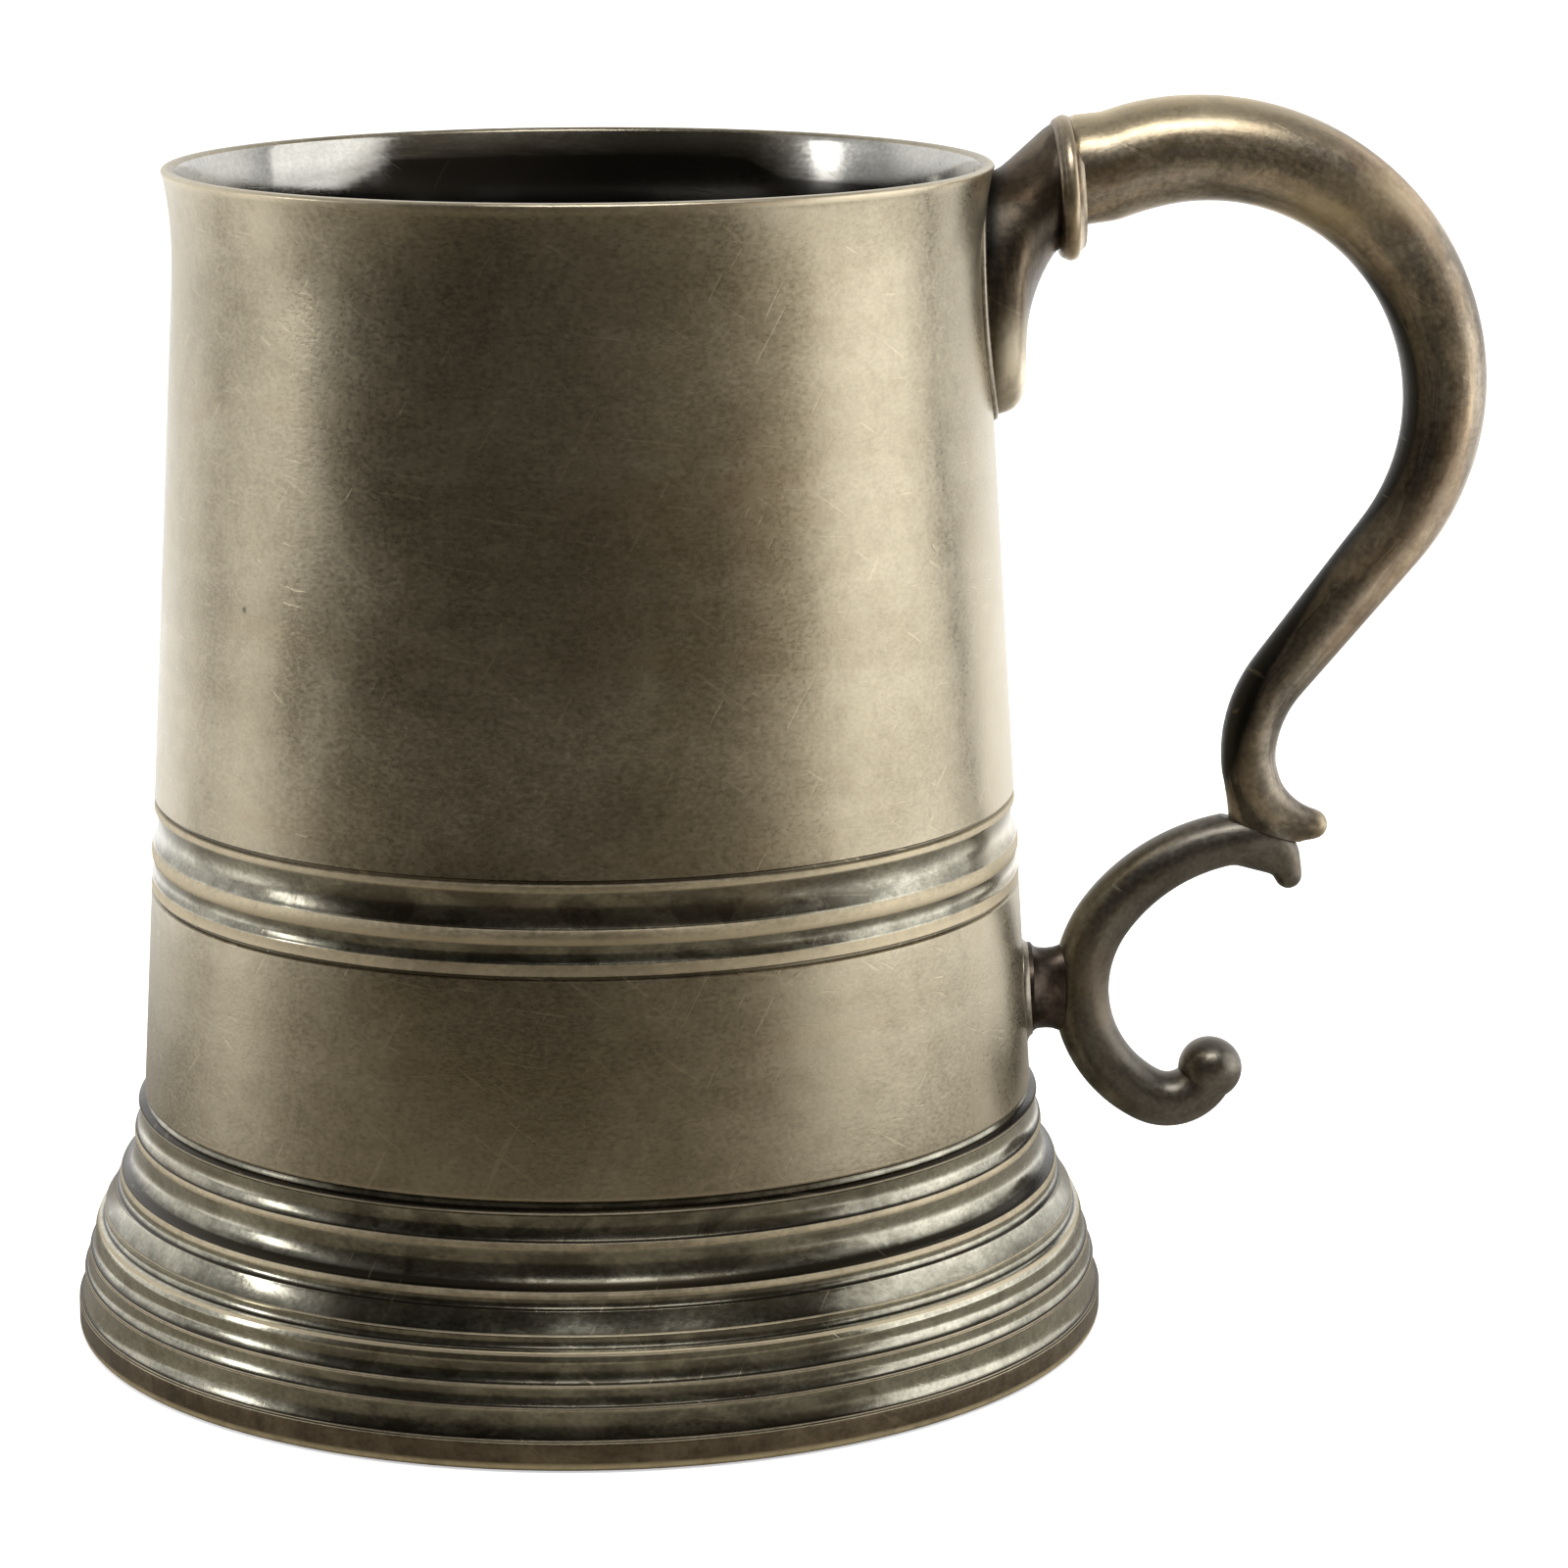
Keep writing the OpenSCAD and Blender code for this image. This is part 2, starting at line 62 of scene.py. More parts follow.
def feed(tree, socket, source):
    if isinstance(source, bpy.types.NodeSocket):
        tree.links.new(source, socket)
    else:  # colours get their alpha
        socket.default_value = (*source, 1) if isinstance(source, tuple) else source


def setInputs(node, values):
    for label, value in values.items():
        node.inputs[label].default_value = value


def mathNode(tree, operation, a, b=0.0, clamp=False):
    node = addNode(tree, "ShaderNodeMath", operation=operation, use_clamp=clamp)
    feed(tree, node.inputs[0], a)
    feed(tree, node.inputs[1], b)
    return node.outputs[0]


def times(tree, a, b, clamp=False):
    return mathNode(tree, "MULTIPLY", a, b, clamp)


def blendColor(tree, amount, low, high, mode="MIX"):
    node = addNode(tree, "ShaderNodeMix", data_type="RGBA", blend_type=mode)
    feed(tree, node.inputs[0], amount)
    feed(tree, node.inputs[6], low)
    feed(tree, node.inputs[7], high)
    return node.outputs[2]


def spread(tree, value, fromLow, fromHigh, toLow=0.0, toHigh=1.0, smooth=False):
    node = addNode(tree, "ShaderNodeMapRange", clamp=True)
    if smooth:
        node.interpolation_type = "SMOOTHSTEP"
    feed(tree, node.inputs["Value"], value)
    setInputs(node, {"From Min": fromLow, "From Max": fromHigh, "To Min": toLow, "To Max": toHigh})
    return node.outputs[0]


def stretched(tree, vector, scale=(1, 1, 1), turn=(0, 0, 0)):
    # turned first and scaled after, so that the stretch follows the turn
    mapping = addNode(tree, "ShaderNodeMapping", vector_type="TEXTURE")
    mapping.inputs["Scale"].default_value = [1 / s for s in scale]
    mapping.inputs["Rotation"].default_value = [math.radians(a) for a in turn]
    tree.links.new(vector, mapping.inputs["Vector"])
    return mapping.outputs[0]


def objectCoords(tree, scale=(1, 1, 1), turn=(0, 0, 0)):
    return stretched(tree, addNode(tree, "ShaderNodeTexCoord").outputs["Object"], scale, turn)


def noise(tree, coords, scale, detail=4.0, rough=0.55, warp=0.0):
    node = addNode(tree, "ShaderNodeTexNoise")
    setInputs(node, {"Scale": scale, "Detail": detail, "Roughness": rough, "Distortion": warp})
    tree.links.new(coords, node.inputs["Vector"])
    return node.outputs[0]


def cells(tree, coords, scale):
    node = addNode(tree, "ShaderNodeTexVoronoi", feature="F1")
    node.inputs["Scale"].default_value = scale
    tree.links.new(coords, node.inputs["Vector"])
    return node


def addBump(tree, shader, height, strength, distance):
    bump = addNode(tree, "ShaderNodeBump")
    setInputs(bump, {"Strength": strength, "Distance": distance})
    tree.links.new(height, bump.inputs["Height"])
    tree.links.new(bump.outputs[0], shader.inputs["Normal"])


# aged pewter, one recipe for every cast and spun piece
pewter = {  # most pairs say which part of a noise is used
    "cloud": (0.36, 0.64), "streak": (0.46, 0.66), "mottle": (0.47, 0.66), "grain": (0.3, 0.7),
    "warm": (0.58, 0.66), "patch": (0.4, 0.56), "rub": (0.3, 0.56), "rubLeast": 0.6, "pit": (0.02, 0.05),
    "pitDark": 0.7, "scratchEdge": 0.03, "roughGrain": (0.25, 0.75), "roughCloud": (0.35, 0.65),
    "roughSwing": (-0.04, 0.05), "roughLeast": 0.06, "mottleDepth": 0.5, "pitDepth": 1.2,
    "scratchDepth": 0.4, "bumpHeight": 0.0001}


def agedPewter(name, look):
    p = pewter
    material, tree, shader = newMaterial(name)
    wearAndHighlight = addNode(tree, "ShaderNodeAttribute", attribute_name="wearAndHighlight").outputs["Fac"]
    tarnishAndShade = addNode(tree, "ShaderNodeAttribute", attribute_name="tarnishAndShade").outputs["Fac"]
    run = addNode(tree, "ShaderNodeAttribute", attribute_name="run").outputs["Vector"]
    plain = objectCoords(tree)
    cloud = noise(tree, plain, look["cloudScale"], 5, 0.6, 0.4)
    mottle = noise(tree, plain, look["mottleScale"], 6, 0.65)
    grain = noise(tree, objectCoords(tree, look["grainStretch"]), look["grainScale"], 3, 0.6)
    streak = noise(tree, stretched(tree, run, look["streakStretch"]), look["streakScale"], 5, 0.6, 0.2)
    copper = noise(tree, stretched(tree, run, look["warmStretch"]), look["warmScale"], 3, 0.55, 0.5)
    patch = noise(tree, stretched(tree, run, look["patchStretch"]), look["patchScale"], 6, 0.65, 0.6)
    color = blendColor(tree, spread(tree, cloud, *p["cloud"]), look["dark"], look["light"])
    color = blendColor(tree, spread(tree, streak, *p["streak"], 0, look["streak"]), color, look["bloom"])
    color = blendColor(tree, spread(tree, mottle, *p["mottle"], 0, look["mottle"]), color, look["fleck"])
    speck = spread(tree, grain, *p["grain"], 1 - look["grainTint"], 1 + look["grainTint"])
    color = blendColor(tree, 1.0, color, speck, "MULTIPLY")
    # the warm colour of the metal under its skin, in a few patches
    color = blendColor(tree, spread(tree, copper, *p["warm"], 0, look["warm"]), color, look["copper"])
    # tarnish settles in the hollows, in patches; the same darkening also carries the painted shade that some
    # pieces set
    held = spread(tree, patch, *p["patch"], look["patchLow"], 1)
    held = mathNode(tree, "MAXIMUM", held, times(tree, tarnishAndShade, tarnishAndShade))
    tarnishAndShadeShare = times(tree, tarnishAndShade, held, True)
    color = blendColor(tree, tarnishAndShadeShare, color, look["tarnish"])
    # ridges are rubbed back to bare metal; the same bare colour also paints the highlights that some pieces
    # set
    rubbed = times(tree, wearAndHighlight, spread(tree, mottle, *p["rub"], p["rubLeast"], 1), True)
    color = blendColor(tree, rubbed, color, look["bare"])
    # pits and a few fine scratches
    pit = cells(tree, plain, look["pitScale"])
    pitSpot = spread(tree, pit.outputs["Distance"], *p["pit"], 1, 0)
    pitPick = mathNode(tree, "GREATER_THAN", pit.outputs["Color"], look["pitPick"])
    pits = times(tree, pitSpot, pitPick)
    color = blendColor(tree, times(tree, pits, p["pitDark"]), color, look["pit"])
    scratch = 0.0
    for turn, stretch in look["scratches"]:
        line = noise(tree, objectCoords(tree, stretch, turn), 1.0, 0.0, 0.5, 0.15)
        line = spread(tree, line, look["scratchPick"], look["scratchPick"] + p["scratchEdge"])
        scratch = mathNode(tree, "MAXIMUM", scratch, line)
    color = blendColor(tree, times(tree, scratch, look["scratch"]), color, look["bare"])
    tree.links.new(color, shader.inputs["Base Color"])
    shader.inputs["Metallic"].default_value = 1.0
    rough = spread(tree, grain, *p["roughGrain"], *look["rough"])
    rough = mathNode(tree, "ADD", rough, spread(tree, cloud, *p["roughCloud"], *p["roughSwing"]))
    rough = mathNode(tree, "ADD", rough, times(tree, tarnishAndShadeShare, look["tarnishRough"]))
    rough = mathNode(tree, "ADD", rough, times(tree, rubbed, look["wornRough"]))
    tree.links.new(mathNode(tree, "MAXIMUM", rough, p["roughLeast"]), shader.inputs["Roughness"])
    height = times(tree, grain, look["grainDepth"])
    height = mathNode(tree, "ADD", height, times(tree, mottle, p["mottleDepth"]))
    height = mathNode(tree, "ADD", height, times(tree, streak, look["streakDepth"]))
    height = mathNode(tree, "SUBTRACT", height, times(tree, pits, p["pitDepth"]))
    height = mathNode(tree, "SUBTRACT", height, times(tree, scratch, p["scratchDepth"]))
    addBump(tree, shader, height, look["bump"], p["bumpHeight"])
    return material


drumLook = {
    "dark": (0.365, 0.318, 0.228), "light": (0.472, 0.417, 0.306), "bloom": (0.51, 0.455, 0.345),
    "streak": 0.35, "fleck": (0.27, 0.225, 0.155), "mottle": 0.3, "grainTint": 0.15,
    "tarnish": (0.05, 0.043, 0.035), "bare": (0.72, 0.63, 0.46), "pit": (0.06, 0.05, 0.04),
    "copper": (0.4, 0.31, 0.2), "warm": 0.3, "warmScale": 60, "warmStretch": (1, 1, 1), "cloudScale": 60,
    "mottleScale": 420, "patchScale": 150, "patchStretch": (1, 1, 1), "patchLow": 0.6, "grainScale": 2700,
    "grainStretch": (0.6, 0.6, 1), "streakScale": 260, "streakStretch": (1, 1, 1), "pitScale": 110,
    "pitPick": 0.8,
    "scratches": [((0, 38, 0), (110, 300, 2600)), ((0, -62, 0), (120, 300, 2400)),
                  ((0, 8, 0), (90, 300, 2800))],
    "scratchPick": 0.8, "scratch": 0.25, "rough": (0.24, 0.36), "tarnishRough": 0.0, "wornRough": 0.05,
    "grainDepth": 0.8, "streakDepth": 0.3, "bump": 0.2}
insideLook = dict(
    drumLook, dark=(0.51, 0.495, 0.455), light=(0.68, 0.665, 0.615), bloom=(0.6, 0.585, 0.535),
    fleck=(0.42, 0.41, 0.36), mottle=0.25, grainTint=0.12, tarnish=(0.055, 0.052, 0.049), warm=0.1,
    scratch=0.03, rough=(0.1, 0.17), grainDepth=0.3, bump=0.1)
landLook = dict(
    drumLook, dark=(0.54, 0.465, 0.325), light=(0.68, 0.59, 0.42), bloom=(0.74, 0.65, 0.48),
    rough=(0.44, 0.56), cloudScale=90, scratch=0.1)
coveLook = dict(
    drumLook, dark=(0.42, 0.4, 0.32), light=(0.61, 0.59, 0.48), bloom=(0.66, 0.635, 0.515),
    fleck=(0.22, 0.195, 0.14), mottle=0.45, grainTint=0.2, tarnish=(0.036, 0.03, 0.02),
    copper=(0.22, 0.15, 0.09), warm=0.5, warmScale=90, cloudScale=70, mottleScale=300, patchScale=220,
    patchStretch=(4, 4, 1), patchLow=0.4, scratch=0.1, rough=(0.12, 0.19), tarnishRough=0.12,
    grainDepth=0.35, streakDepth=0.5, bump=0.15)
fasciaLook = dict(
    drumLook, dark=(0.15, 0.118, 0.083), light=(0.3, 0.25, 0.18), bloom=(0.36, 0.3, 0.22),
    fleck=(0.09, 0.07, 0.05), mottle=0.5, tarnish=(0.06, 0.045, 0.032), cloudScale=110,
    bare=(0.9, 0.78, 0.52), rough=(0.24, 0.36), wornRough=0.15, scratch=0.1)
handleLook = {
    "dark": (0.38, 0.325, 0.255), "light": (0.66, 0.57, 0.45), "bloom": (0.8, 0.635, 0.425),
    "streak": 0.7, "fleck": (0.17, 0.14, 0.105), "mottle": 0.5, "grainTint": 0.2,
    "tarnish": (0.028, 0.026, 0.023), "bare": (0.8, 0.66, 0.42), "pit": (0.04, 0.03, 0.025),
    "copper": (0.56, 0.37, 0.21), "warm": 0.4, "warmScale": 110, "warmStretch": (0.4, 1, 1),
    "cloudScale": 70, "mottleScale": 380, "patchScale": 240, "patchStretch": (0.16, 1, 1),
    "patchLow": 0.1, "grainScale": 1800, "grainStretch": (1, 1, 1), "streakScale": 420,
    "streakStretch": (0.13, 1, 1), "pitScale": 120, "pitPick": 0.85,
    "scratches": [((0, 30, 0), (60, 300, 2000)), ((0, -50, 20), (60, 300, 1800))], "scratchPick": 0.8,
    "scratch": 0.06, "rough": (0.27, 0.39), "tarnishRough": 0.05, "wornRough": -0.03, "grainDepth": 0.5,
    "streakDepth": 1.4, "bump": 0.3}
scrollLook = dict(
    handleLook, dark=(0.15, 0.139, 0.117), light=(0.29, 0.268, 0.226), bloom=(0.36, 0.315, 0.25),
    streak=0.45, warm=0.15, patchLow=0.3, bare=(0.6, 0.53, 0.42), rough=(0.29, 0.4))
# painted shade: a near-black copy of the handle's pewter for the strut under the handle
shadedStrutLook = dict(
    handleLook, dark=(0.035, 0.022, 0.016), light=(0.06, 0.043, 0.033), bloom=(0.11, 0.085, 0.068),
    warm=0.1)
# painted shade: a darker copy of the handle's pewter for the socket
shadedSocketLook = dict(
    handleLook, dark=(0.06, 0.047, 0.035), light=(0.15, 0.122, 0.09), bloom=(0.3, 0.23, 0.15),
    copper=(0.28, 0.18, 0.1), bare=(0.86, 0.76, 0.58), rough=(0.3, 0.42))
solderLook = dict(
    handleLook, dark=(0.36, 0.32, 0.26), light=(0.5, 0.45, 0.37), bloom=(0.56, 0.5, 0.4), warm=0.1,
    mottle=0.3, rough=(0.3, 0.45))

drumMetal = agedPewter("drumPewter", drumLook)
insideMetal = agedPewter("polishedInside", insideLook)
landMetal = agedPewter("landPewter", landLook)
coveMetal = agedPewter("covePewter", coveLook)
fasciaMetal = agedPewter("fasciaPewter", fasciaLook)
handleMetal = agedPewter("handlePewter", handleLook)
scrollMetal = agedPewter("scrollPewter", scrollLook)
strutMetal = agedPewter("shadedStrutPewter", shadedStrutLook)
socketMetal = agedPewter("shadedSocketPewter", shadedSocketLook)
solderMetal = agedPewter("paleSolder", solderLook)

glassLook = {
    "smearScale": 70, "smearRange": (0.45, 0.7), "rough": (0.01, 0.1), "dustRange": (0.4, 0.7),
    "tint": (0.9, 0.96, 0.93), "dusty": (0.84, 0.9, 0.87), "ior": 1.5}
puttyLook = {
    "lumpScale": 500, "lumpRange": (0.35, 0.65), "dark": (0.42, 0.38, 0.3), "light": (0.62, 0.57, 0.48),
    "rough": 0.85, "bump": 0.4, "bumpHeight": 0.0003}


def clearGlass(name, look):
    material, tree, shader = newMaterial(name)
    smear = noise(tree, objectCoords(tree), look["smearScale"], 5, 0.6)
    rough = spread(tree, smear, *look["smearRange"], *look["rough"])
    color = blendColor(tree, spread(tree, smear, *look["dustRange"]), look["tint"], look["dusty"])
    tree.links.new(rough, shader.inputs["Roughness"])
    tree.links.new(color, shader.inputs["Base Color"])
    setInputs(shader, {"Transmission Weight": 1.0, "IOR": look["ior"]})
    return material


def hardPutty(name, look):
    material, tree, shader = newMaterial(name)
    lumps = noise(tree, objectCoords(tree), look["lumpScale"], 6, 0.65)
    color = blendColor(tree, spread(tree, lumps, *look["lumpRange"]), look["dark"], look["light"])
    tree.links.new(color, shader.inputs["Base Color"])
    shader.inputs["Roughness"].default_value = look["rough"]
    addBump(tree, shader, lumps, look["bump"], look["bumpHeight"])
    return material


glassClear = clearGlass("clearGlass", glassLook)
puttyGrey = hardPutty("hardPutty", puttyLook)
print("materials made")


# mesh helpers
def ramp(value, start, end):
    # 0 at start and 1 at end, which may be the lower one
    return max(0.0, min(1.0, (value - start) / (end - start)))


def near(co, at, wide, tall):
    # 1 at a spot of the handle's plane and 0 at the edge of an oval round it
    return ramp(math.hypot((co.x - at[0]) / wide, (co.z - at[1]) / tall), 1, 0)


def aroundAxis(co, reach=7.0):
    # shrinks the way round, so that marks stretch along the turning
    radius = max(0.001, math.hypot(co.x, co.y))
    return co.x / radius * reach, co.y / radius * reach, co.z


def finishPiece(bm, name, materials, replaced, sharp=38, paint=None, run=aroundAxis):
    bmesh.ops.remove_doubles(bm, verts=bm.verts[:], dist=0.0005)
    bmesh.ops.recalc_face_normals(bm, faces=bm.faces[:])
    bm.normal_update()
    values = [paint(v.co, v.normal) if paint else (0.0, 0.0) for v in bm.verts]
    spots = [c * mm for v in bm.verts for c in run(v.co)]
    bmesh.ops.scale(bm, vec=(mm, mm, mm), verts=bm.verts[:])
    mesh = bpy.data.meshes.new(name)
    bm.to_mesh(mesh)
    bm.free()
    for index, label in enumerate(("wearAndHighlight", "tarnishAndShade")):
        layer = mesh.attributes.new(label, "FLOAT", "POINT")
        layer.data.foreach_set("value", [min(1.0, max(0.0, v[index])) for v in values])
    mesh.attributes.new("run", "FLOAT_VECTOR", "POINT").data.foreach_set("vector", spots)
    mesh.polygons.foreach_set("use_smooth", [True] * len(mesh.polygons))
    mesh.set_sharp_from_angle(angle=math.radians(sharp))
    for material in materials:
        mesh.materials.append(material)
    piece = bpy.data.objects.new(name, mesh)
    scene.collection.objects.link(piece)
    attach(piece, "root")
    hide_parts(*replaced)
    print("made", name, len(mesh.polygons), "faces")


def fuseShells(shells, size, passes):
    # overlapping castings become one skin with soft fillets
    mesh = bpy.data.meshes.new("shells")
    whole = bmesh.new()
    for bm in shells:
        bmesh.ops.recalc_face_normals(bm, faces=bm.faces[:])
        bm.to_mesh(mesh)
        bm.free()
        whole.from_mesh(mesh)
    whole.to_mesh(mesh)
    whole.free()
    rough = bpy.data.objects.new("shells", mesh)
    scene.collection.objects.link(rough)
    skin = rough.modifiers.new("skin", "REMESH")
    skin.mode = "VOXEL"
    skin.voxel_size = size
    bpy.context.view_layer.update()
    solid = bpy.data.meshes.new_from_object(rough.evaluated_get(bpy.context.evaluated_depsgraph_get()))
    fused = bmesh.new()
    fused.from_mesh(solid)
    bpy.data.objects.remove(rough)
    bpy.data.meshes.remove(mesh)
    bpy.data.meshes.remove(solid)
    for turn in range(passes):
        bmesh.ops.smooth_vert(fused, verts=fused.verts[:], factor=0.5,
                              use_axis_x=True, use_axis_y=True, use_axis_z=True)
    return fused


def alongPath(stations):
    # straightens a swept piece: distance along its path, then the place in its section
    tree = kdtree.KDTree(len(stations))
    reach = [0.0]
    for before, after in zip(stations, stations[1:]):
        reach.append(reach[-1] + math.hypot(after[0] - before[0], after[1] - before[1]))
    for index, (x, z, heading, tube) in enumerate(stations):
        tree.insert((x, 0, z), index)
    tree.balance()

    def run(co):
        index = tree.find((co.x, 0, co.z))[1]
        x, z, heading, tube = stations[index]
        a = math.radians(heading)
        dx, dz = co.x - x, co.z - z
        return reach[index] + dx * math.cos(a) + dz * math.sin(a), co.y, dz * math.cos(a) - dx * math.sin(a)
    return run


def lineTo(points, end, count=1):
    start = points[-1]
    for i in range(1, count + 1):
        t = i / count
        points.append((start[0] + (end[0] - start[0]) * t, start[1] + (end[1] - start[1]) * t))


def curveTo(points, end, bulge, count=8):
    # circular sweep to end; bulge is how far it stands out from the chord, away from the axis
    start = points[-1]
    dr, dz = end[0] - start[0], end[1] - start[1]
    chord = math.hypot(dr, dz)
    half = chord / 2
    side = 1 if dz <= 0 else -1
    out = (-dz / chord * side, dr / chord * side)
    radius = (half * half + bulge * bulge) / (2 * abs(bulge))
    reach = math.asin(min(1, half / radius))
    for i in range(1, count + 1):
        a = -reach + 2 * reach * i / count
        along = radius * math.sin(a) / chord + 0.5
        lift = (radius * math.cos(a) - (radius - abs(bulge))) * (1 if bulge > 0 else -1)
        points.append((start[0] + dr * along + out[0] * lift, start[1] + dz * along + out[1] * lift))


def spinProfile(points, steps):
    bm = bmesh.new()
    verts = [bm.verts.new((r, 0, z)) for r, z in points]
    edges = [bm.edges.new((verts[i], verts[(i + 1) % len(verts)])) for i in range(len(verts))]
    bmesh.ops.spin(bm, geom=verts + edges, cent=(0, 0, 0), axis=(0, 0, 1), angle=2 * math.pi, steps=steps,
                   use_merge=True)
    return bm


# painted shade in the hollows: where it thins towards the sides, and its share at a hollow's top
covePaintedShade = {"sides": (33, 23), "top": 0.55}


def coveShade(co, hollows, least):
    # painted shade in a hollow: darkest at its foot, and lighter towards the handle and opposite to it
    middle = ramp(abs(co.x), *covePaintedShade["sides"])
    for high, low in hollows:
        if low < co.z < high:
            shade = covePaintedShade["top"] + (1 - covePaintedShade["top"]) * ramp(co.z, high, low)
            return shade * (least + (1 - least) * middle)
    return 0.0


def bandValue(z, bands):
    # each band: middle, half its height, strength
    return max(amount * ramp(abs(z - middle), half, half * 0.6) for middle, half, amount in bands)


# drum
drum = {
    "rim": 120.0, "throat": 41.0, "throatZ": 112.0, "flare": 1.48, "flareZ": 107.0, "flareCurve": 2.6,
    "innerFlare": 1.98, "innerCurve": 2.2, "flareSteps": 24, "lipEdge": 1.2, "lipRound": 0.4,
    "lean": 0.06, "wall": 1.7, "base": 24.5, "bore": 44.55, "spigot": 45.55, "spigotZ": 7.0,
    "ledge": (15.0, 16.6), "ledgeIn": 41.35, "ledgeEdge": 0.4, "groove": (0.3, 0.1, 0.32),
    "upperGroove": 55.65, "upperCove": (54.72, 51.12), "lowerCove": (49.6, 47.75), "lowerGroove": 46.35,
    "coveDepth": 0.5, "lowerDepth": 0.28, "bead": 0.14, "steps": 192,
    "rubbed": [(120, 0.9, 0.8), (54.9, 0.2, 0.4), (50.0, 0.35, 0.6), (47.0, 0.35, 0.5), (24.75, 0.3, 0.3)],
    "tarnished": [(55.65, 0.2, 0.8), (46.35, 0.2, 0.8), (24.4, 0.25, 1.0)], "coveLeast": 0.5,
    "hidden": 0.5, "fingers": 0.4, "fingersX": (37, 40)}
insideShade = {  # painted shade inside: dark up to a level, higher in the middle and towards the handle, and thinner far down
    "level": 117.4, "fade": 3.6, "middle": 3.2, "middleX": ((-26, -20), (24, 18)), "side": 1.2,
    "sideX": (0, 20), "least": 0.03, "thinner": 0.4, "thinnerZ": (106, 86)}


def drumR(z):
    return drum["throat"] + (drum["throatZ"] - z) * drum["lean"]


def flareShare(z):
    return ramp(z, drum["flareZ"], drum["rim"])


def outerR(z):
    return drumR(z) + drum["flare"] * flareShare(z) ** drum["flareCurve"]


def innerR(z):
    return drumR(z) - drum["wall"] + drum["innerFlare"] * flareShare(z) ** drum["innerCurve"]


def onDrum(z):
    return drumR(z), z


def wallX(y, z, sunk=0.0):
    radius = drumR(z) - sunk
    return math.sqrt(max(1.0, radius * radius - y * y))


def makeDrum():
    d = drum
    lip = outerR(d["rim"])
    lipIn = lip - d["lipEdge"]
    soft = d["lipRound"]
    points = [(lipIn + soft, d["rim"]), (lip - soft, d["rim"])]
    curveTo(points, (lip, d["rim"] - soft), 0.11, 4)
    for i in range(1, d["flareSteps"] + 1):
        z = d["rim"] - soft - i * (d["rim"] - soft - d["flareZ"]) / d["flareSteps"]
        points.append((outerR(z), z))

    def cutGroove(middle):
        half, floor, depth = d["groove"]
        lineTo(points, (drumR(middle), middle + half), 2)
        lineTo(points, (drumR(middle) - depth, middle + floor))
        lineTo(points, (drumR(middle) - depth, middle - floor))
        lineTo(points, (drumR(middle), middle - half))

    hollows = [d["upperCove"], d["lowerCove"]]
    (upperHigh, upperLow), (lowerHigh, lowerLow) = hollows
    lineTo(points, onDrum(d["upperGroove"] + 0.6), 36)
    cutGroove(d["upperGroove"])
    lineTo(points, (drumR(upperHigh), upperHigh + 0.08), 3)
    curveTo(points, onDrum(upperLow), -d["coveDepth"], 16)
    curveTo(points, onDrum(lowerHigh), d["bead"], 8)
    curveTo(points, onDrum(lowerLow), -d["lowerDepth"], 12)
    lineTo(points, onDrum(lowerLow - 0.15))
    lineTo(points, onDrum(d["lowerGroove"] + 0.6), 2)
    cutGroove(d["lowerGroove"])
    lineTo(points, onDrum(d["lowerGroove"] - 0.7), 2)
    lineTo(points, onDrum(d["base"] + 0.6), 14)
    lineTo(points, (drumR(d["base"]) - 0.02, d["base"] + 0.18), 2)
    lineTo(points, (drumR(d["base"]) - 0.2, d["base"]))
    # spigot for the foot, then up the inside over the ledge
    spigot, bore, ledgeIn, edge = d["spigot"], d["bore"], d["ledgeIn"], d["ledgeEdge"]
    ledgeLow, ledgeHigh = d["ledge"]
    corners = [(spigot, d["base"], 1), (spigot, d["spigotZ"], 4), (bore, d["spigotZ"], 1),
               (bore, ledgeLow, 3), (ledgeIn, ledgeLow, 1), (ledgeIn, ledgeHigh - edge, 1),
               (ledgeIn + edge, ledgeHigh, 1), (bore - edge, ledgeHigh, 1)]
    for r, z, count in corners:
        lineTo(points, (r, z), count)
    curveTo(points, (bore, ledgeHigh + edge), 0.1, 3)
    lineTo(points, (bore, d["base"]), 3)
    lineTo(points, (innerR(d["flareZ"]), d["flareZ"]), 30)
    for i in range(1, d["flareSteps"] + 1):
        z = d["flareZ"] + i * (d["rim"] - 0.35 - d["flareZ"]) / d["flareSteps"]
        points.append((innerR(z), z))
    curveTo(points, (lipIn + soft, d["rim"]), -0.1, 4)
    points.pop()
    bm = spinProfile(points, d["steps"])
    for face in bm.faces:  # polished inside up to the lip, bright coves, pale lands between the grooves
        middle = face.calc_center_median()
        z = middle.z
        if ledgeLow - 0.2 < z < d["rim"] - 0.5 and math.hypot(middle.x, middle.y) < outerR(z) - 0.6:
            face.material_index = 1
        elif upperLow < z < upperHigh or lowerLow < z < lowerHigh:
            face.material_index = 2
        elif d["lowerGroove"] < z < d["upperGroove"]:
            face.material_index = 3

    def paint(co, normal):
        if co.z < d["base"] - 0.1:
            return 0.0, d["hidden"]
        if math.hypot(co.x, co.y) < outerR(co.z) - 0.7:
            # painted shade on the inside wall, darker below a level
            left, right = insideShade["middleX"]
            middle = insideShade["middle"] * ramp(co.x, *left) * ramp(co.x, *right)
            level = insideShade["level"] + max(middle, insideShade["side"] * ramp(co.x, *insideShade["sideX"]))
            dark = insideShade["least"] + (1 - insideShade["least"]) * ramp(co.z, level, level - insideShade["fade"])
            return 0.0, dark - insideShade["thinner"] * ramp(co.z, *insideShade["thinnerZ"])
        wearAndHighlight = max(bandValue(co.z, d["rubbed"]), d["fingers"] * ramp(co.x, *d["fingersX"]))
        return wearAndHighlight, max(bandValue(co.z, d["tarnished"]), coveShade(co, hollows, d["coveLeast"]))
    metals = [drumMetal, insideMetal, coveMetal, landMetal]
    finishPiece(bm, "drumWall", metals, ["body_drum"], 50, paint)


makeDrum()

